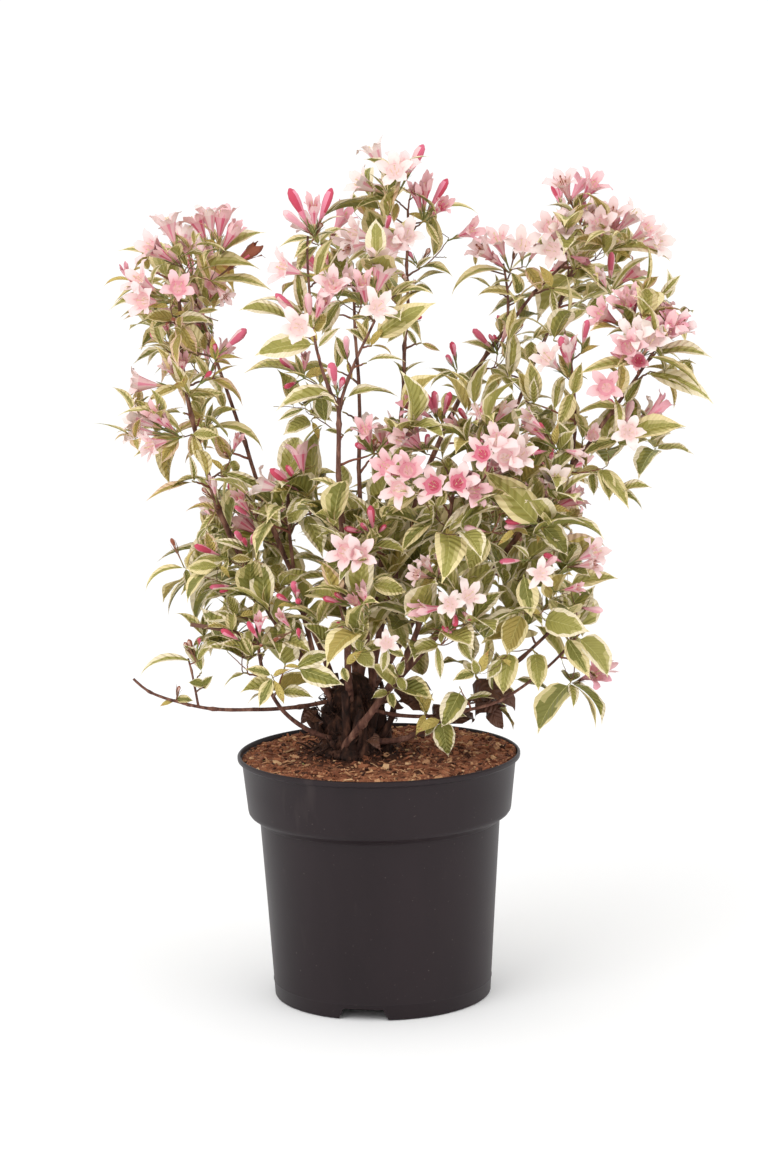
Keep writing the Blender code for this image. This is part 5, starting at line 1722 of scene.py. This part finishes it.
def plantSpray(region, place, blooms, leaves, rng):
    place = Vector(place)
    path = growTwig(region, place, rng)
    for entry in filter(None, blooms.split(", ")):
        kind, angle, lean, reach = entry.split()
        direction = frontDirection(float(angle) + rng.uniform(-3, 3), float(lean))
        foot = place - pathHeading(path) * rng.uniform(0, 0.004)
        addBloom(region, foot, kind, direction, float(reach) / 100, rng)
    for entry in filter(None, leaves.split(", ")):
        angle, length, face = (float(part) for part in entry.split())
        direction = frontDirection(angle, rng.uniform(-16, 16))
        upper = Vector((0, -sin(radians(face)), cos(radians(face))))
        upper += Vector((rng.uniform(-0.15, 0.15), 0, 0))
        young = length < 2.4 and rng.random() < 0.35
        size = max(length / 100, 0.014)
        foot = place - pathHeading(path) * rng.uniform(0, 0.006)
        tint = 6 if young else rng.choice((0, 2)) if length > 4.6 else leafTint(rng, region, place.z)
        addLeaf(region, foot, direction, upper, size, tint, rng, young)
    back = rng.uniform(*growth["nodeSpacing"])
    turn = rng.uniform(0, pi)
    length = pathLength(path)
    while back < length - 0.010:
        spot, heading = pathAt(path, back)
        if spot is None:
            break
        if rng.random() < 0.72:
            leafPair(region, spot, heading, turn, rng.uniform(0.030, 0.046), rng, False, -0.05)
        turn += pi / 2
        back += rng.uniform(*growth["nodeSpacing"])


def pathHeading(path):
    return (path[-1] - path[-2]).normalized()


def fillMass(region, name, rng):
    low, high = (Vector(corner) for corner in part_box("foliage_" + name))
    centre, half = (low + high) / 2, (high - low) / 2 * growth["massShare"]
    volume = 4.19 * half.x * half.y * half.z  # of the egg that fits the box
    spacing = growth["spacing"][region]
    wanted = max(2, int(volume * growth["reach"] ** 2 / spacing ** 3 * growth["filling"]))
    tips, tries = [], 0
    while len(tips) < wanted and tries < wanted * growth["triesForTip"]:
        tries += 1
        spot = anyWay(rng)
        if spot.length > 1:
            continue
        spot = Vector((spot.x * half.x, spot.y * half.y, spot.z * half.z)) * growth["reach"] + centre
        crowded = any((spot - other).length < spacing * 0.8 for other in tips)
        if crowded or inOpening(spot + Vector((0, 0, 0.02)), 1.1):
            continue
        tips.append(spot)
    tips.sort(key=lambda spot: nearestWood(spot)[1])
    for spot in tips:
        path = growTwig(region, spot, rng)
        heading = (pathHeading(path) + outwards(spot) * 0.25 + Vector((0, 0, 0.35))).normalized()
        size = 0.88 if region == "left" else 1.06 if region in ("centre", "low") else 1.0
        length = rng.uniform(*growth["leafLength"]) * size
        droop = 0.15 if spot.z > centre.z else growth["lowDroop"] * 0.5
        turn = rng.uniform(0, pi)
        behind = spot.y > centre.y + half.y * 0.2
        share = growth["backBlossom"] if region == "back" else growth["innerBlossom"] if behind else 0.0
        blooming = rng.random() < share
        if not blooming and rng.random() < 0.5:
            leafPair(region, spot, heading, turn, length * 0.45, rng, True, 0.45)
        leafPair(region, spot, heading, turn + pi / 2, length * 0.85, rng, True, droop)
        back = 0.016
        total = pathLength(path)
        while back < total - 0.008:
            place, along = pathAt(path, back)
            if place is None:
                break
            turn += pi / 2
            leafPair(
                region, place, along, turn, length * rng.uniform(0.85, 1.1), rng, False,
                growth["lowDroop"] * 0.4,
            )
            back += rng.uniform(*growth["nodeSpacing"])
        if blooming:
            for _ in range(rng.randrange(2, 5)):
                side = outwards(spot) * rng.uniform(0, 0.8)
                side += Vector((rng.uniform(-0.6, 0.6), rng.uniform(-0.6, 0.6), rng.uniform(0.3, 1)))
                kind = rng.choices(("open", "half", "bud", "short", "style"), weights=(45, 15, 20, 8, 12))[0]
                end = spot + side.normalized() * 0.036
                if not inOpening(end - Vector((0, 0, 0.012))) and insideBox(end + side.normalized() * 0.006):
                    addBloom(region, spot, kind, side.normalized(), bloomLength[kind], rng)


def dressStem(name, region, rng):
    # short leafy twigs along the upper part of a stem
    path = [Vector(point) for point in routes[name][0]]
    total = pathLength(path)
    back, turn = rng.uniform(0.02, 0.04), rng.uniform(0, pi)
    while back < total * growth["dressed"]:
        spot, heading = pathAt(path, back)
        across = heading.orthogonal().normalized()
        across.rotate(Matrix.Rotation(turn, 3, heading))
        for side in (-1, 1):
            tip = spot + (across * side * 0.7 + heading * 0.6) * rng.uniform(0.018, 0.034)
            if rng.random() < 0.8 and not inOpening(tip) and insideBox(tip):
                twig = growTwig(region, tip, rng)
                roll, size = rng.uniform(0, pi), rng.uniform(0.030, 0.044)
                leafPair(region, tip, pathHeading(twig), roll, size, rng, True, -0.1)
        back += rng.uniform(0.030, 0.045)
        turn += pi / 2


for path, thick, thin in routes.values():
    addWood(path, thick, thin, 0.22)
for number in sorted(range(len(sprays)), key=lambda number: nearestWood(sprays[number][1])[1]):
    plantSpray(*sprays[number], Random(growth["seed"] * 1000 + number))
print(len(sprays), "sprays of the good side planted")
for region, names in regions.items():
    for name in names:
        fillMass(region, name, Random(f"{name} {growth['seed']}"))
for name, region in (("stem_back_left", "back"), ("stem_back", "back"), ("stem_back_right", "back"),
                     ("stem_left", "left"), ("stem_right", "right"), ("stem_right_outer", "right")):
    dressStem(name, region, Random(f"{name} {growth['seed']}"))
print("masses filled:", sum(len(parts["leaves"]) for parts in grown.values()), "leaves,",
      sum(len(parts["blooms"]) for parts in grown.values()), "flowers and buds")


# dead leaves that have dropped about the foot

deadLeaves = [
    ((0.076, -0.030, 0.245), (0.8, -0.3, -0.12), 0.036), ((0.092, -0.030, 0.240), (0.3, -0.4, -0.6), 0.020),
    ((0.100, -0.034, 0.240), (-0.7, -0.2, -0.2), 0.024), ((0.020, -0.030, 0.246), (0.8, -0.2, 0.35), 0.026),
    ((0.034, -0.030, 0.238), (-0.8, -0.3, 0.3), 0.024), ((0.012, -0.034, 0.240), (-0.4, -0.5, 0.2), 0.020),
    ((-0.048, -0.024, 0.226), (-0.6, -0.3, 0.1), 0.018), ((0.044, -0.026, 0.232), (0.7, -0.4, -0.1), 0.022),
    ((0.004, -0.024, 0.262), (0.6, -0.5, 0.4), 0.018), ((-0.054, -0.012, 0.236), (-0.4, -0.5, -0.4), 0.016),
    ((0.056, -0.020, 0.224), (0.6, 0.4, -0.1), 0.022), ((-0.004, -0.044, 0.214), (0.3, -0.8, -0.1), 0.018),
]
planted = Random(growth["seed"])
for place, direction, size in deadLeaves:
    shape = deadFrom + planted.randrange(leaf["deadShapes"])
    upper = (planted.uniform(-0.4, 0.4), -0.6, planted.uniform(0.3, 0.8))
    grown["low"]["leaves"].append((shape, facing(direction, upper, size), place, 7))

# a shoot cut off short, low at the left
cutStub = [(-0.0954, -0.0401, 0.3012), (-0.1202, -0.062, 0.3134), (-0.1461, -0.068, 0.3189)]
cutStubFoot, cutStubEnd = 0.0021, 0.0017
stubPath = [Vector(point) for point in cutStub]
grown["low"]["twigs"].append((stubPath, cutStubFoot, cutStubEnd, growth["brownTwigs"] / 2))


# twigs of one region joined in one piece, brown at the foot and olive by the leaves

twigColours = {"twigBrown": (112, 78, 64), "twigRed": (136, 84, 68), "twigOlive": (150, 132, 78)}
twigMaterials = []
for name, colour in twigColours.items():
    twigMaterials.append(plainGrained(name, srgb(*colour), 0.7, 500, 0.5, 0.0004, 0.3))
brownTwig, redTwig, oliveTwig = range(3)


def makeTwigs(region):
    tubes, quadSlots, triSlots = [], [], []
    for path, thick, thin, kind in grown[region]["twigs"]:
        count = len(path)
        sides = growth["stalkSides"] if kind == flowerStalk else growth["twigSides"]
        corners, faces = tubeAlong(path, np.linspace(thick, thin, count), sides)
        tubes.append((corners, faces, sides))
        share = np.repeat(np.arange(count - 1) / (count - 1), sides)
        wood = brownTwig if kind < growth["brownTwigs"] else redTwig
        oliveFrom = 0.66 if kind != flowerStalk else -1
        quadSlots.append(np.where(share > oliveFrom, oliveTwig, wood))
        triSlots.append(np.concatenate([np.full(sides, wood), np.full(sides, oliveTwig)]))
    points, quads, tris = joinTubes(tubes)
    slots = np.concatenate(quadSlots + triSlots)
    obj = meshFromArrays("twigs" + region.title(), points, quads, tris, slots, twigMaterials)
    return finishPiece(obj, "bark")


for region, names in regions.items():
    parts = grown[region]
    ending = region.title()
    leaves = joinCopies("leaves" + ending, leafShapes, parts["leaves"], leafDeal, leafMaterials, "leafMap")
    finishPiece(leaves, "leaf", *["foliage_" + name for name in names])
    blooms = joinCopies(
        "blooms" + ending, bloomShapes, parts["blooms"], bloomDeal, bloomMaterials, "bloomMap",
    )
    finishPiece(blooms, "blossom")
    makeTwigs(region)
    print(region, "grown:", *[f"{len(found)} {kind}" for kind, found in parts.items()])


# a pale studio floor and soft light, seen from the front and a little above

studio = {
    "floor": 6.0,
    "floorColour": (251, 251, 251),
    "world": 1.06,
    "keyPower": 20,
    "keySize": 1.6,
    "fillPower": 6,
    "lens": 98.1,
    "pitch": 81.0,
    "roll": -1.0,
}


def makeStudio():
    scene = bpy.context.scene
    bpy.ops.object.select_all(action="DESELECT")
    bpy.ops.mesh.primitive_plane_add(size=studio["floor"], location=(0, 0, -0.0005))
    floor = bpy.context.object
    floor.name = "studioFloor"
    paper = plainGrained("floorPaper", srgb(*studio["floorColour"]), 0.9, 60, 0.05, 0.0005, 0.2)
    floor.data.materials.append(paper)
    for name, place, power, size in (
        ("keyLight", (-1.3, -1.7, 1.9), studio["keyPower"], studio["keySize"]),
        ("fillLight", (1.7, -1.3, 1.2), studio["fillPower"], studio["keySize"]),
    ):
        light = bpy.data.lights.new(name, "AREA")
        light.energy = power
        light.size = size
        lamp = bpy.data.objects.new(name, light)
        lamp.location = place
        lamp.rotation_euler = (Vector((0, 0, 0.35)) - Vector(place)).to_track_quat("-Z", "Y").to_euler()
        scene.collection.objects.link(lamp)
    world = bpy.data.worlds.new("studioWorld")
    world.use_nodes = True
    world.node_tree.nodes["Background"].inputs["Color"].default_value = (1, 1, 1, 1)
    world.node_tree.nodes["Background"].inputs["Strength"].default_value = studio["world"]
    scene.world = world
    scene.view_settings.view_transform = "Standard"
    camera = bpy.data.cameras.new("frontCamera")
    camera.lens = studio["lens"]
    camera.sensor_width = 36
    camera.clip_start = 0.1
    camera.clip_end = 50
    view = bpy.data.objects.new("frontCamera", camera)
    view.matrix_world = Matrix.Translation(eye) @ (
        Matrix.Rotation(radians(studio["pitch"]), 4, "X") @ Matrix.Rotation(radians(studio["roll"]), 4, "Z"))
    scene.collection.objects.link(view)
    scene.camera = view


makeStudio()
print("studio set")
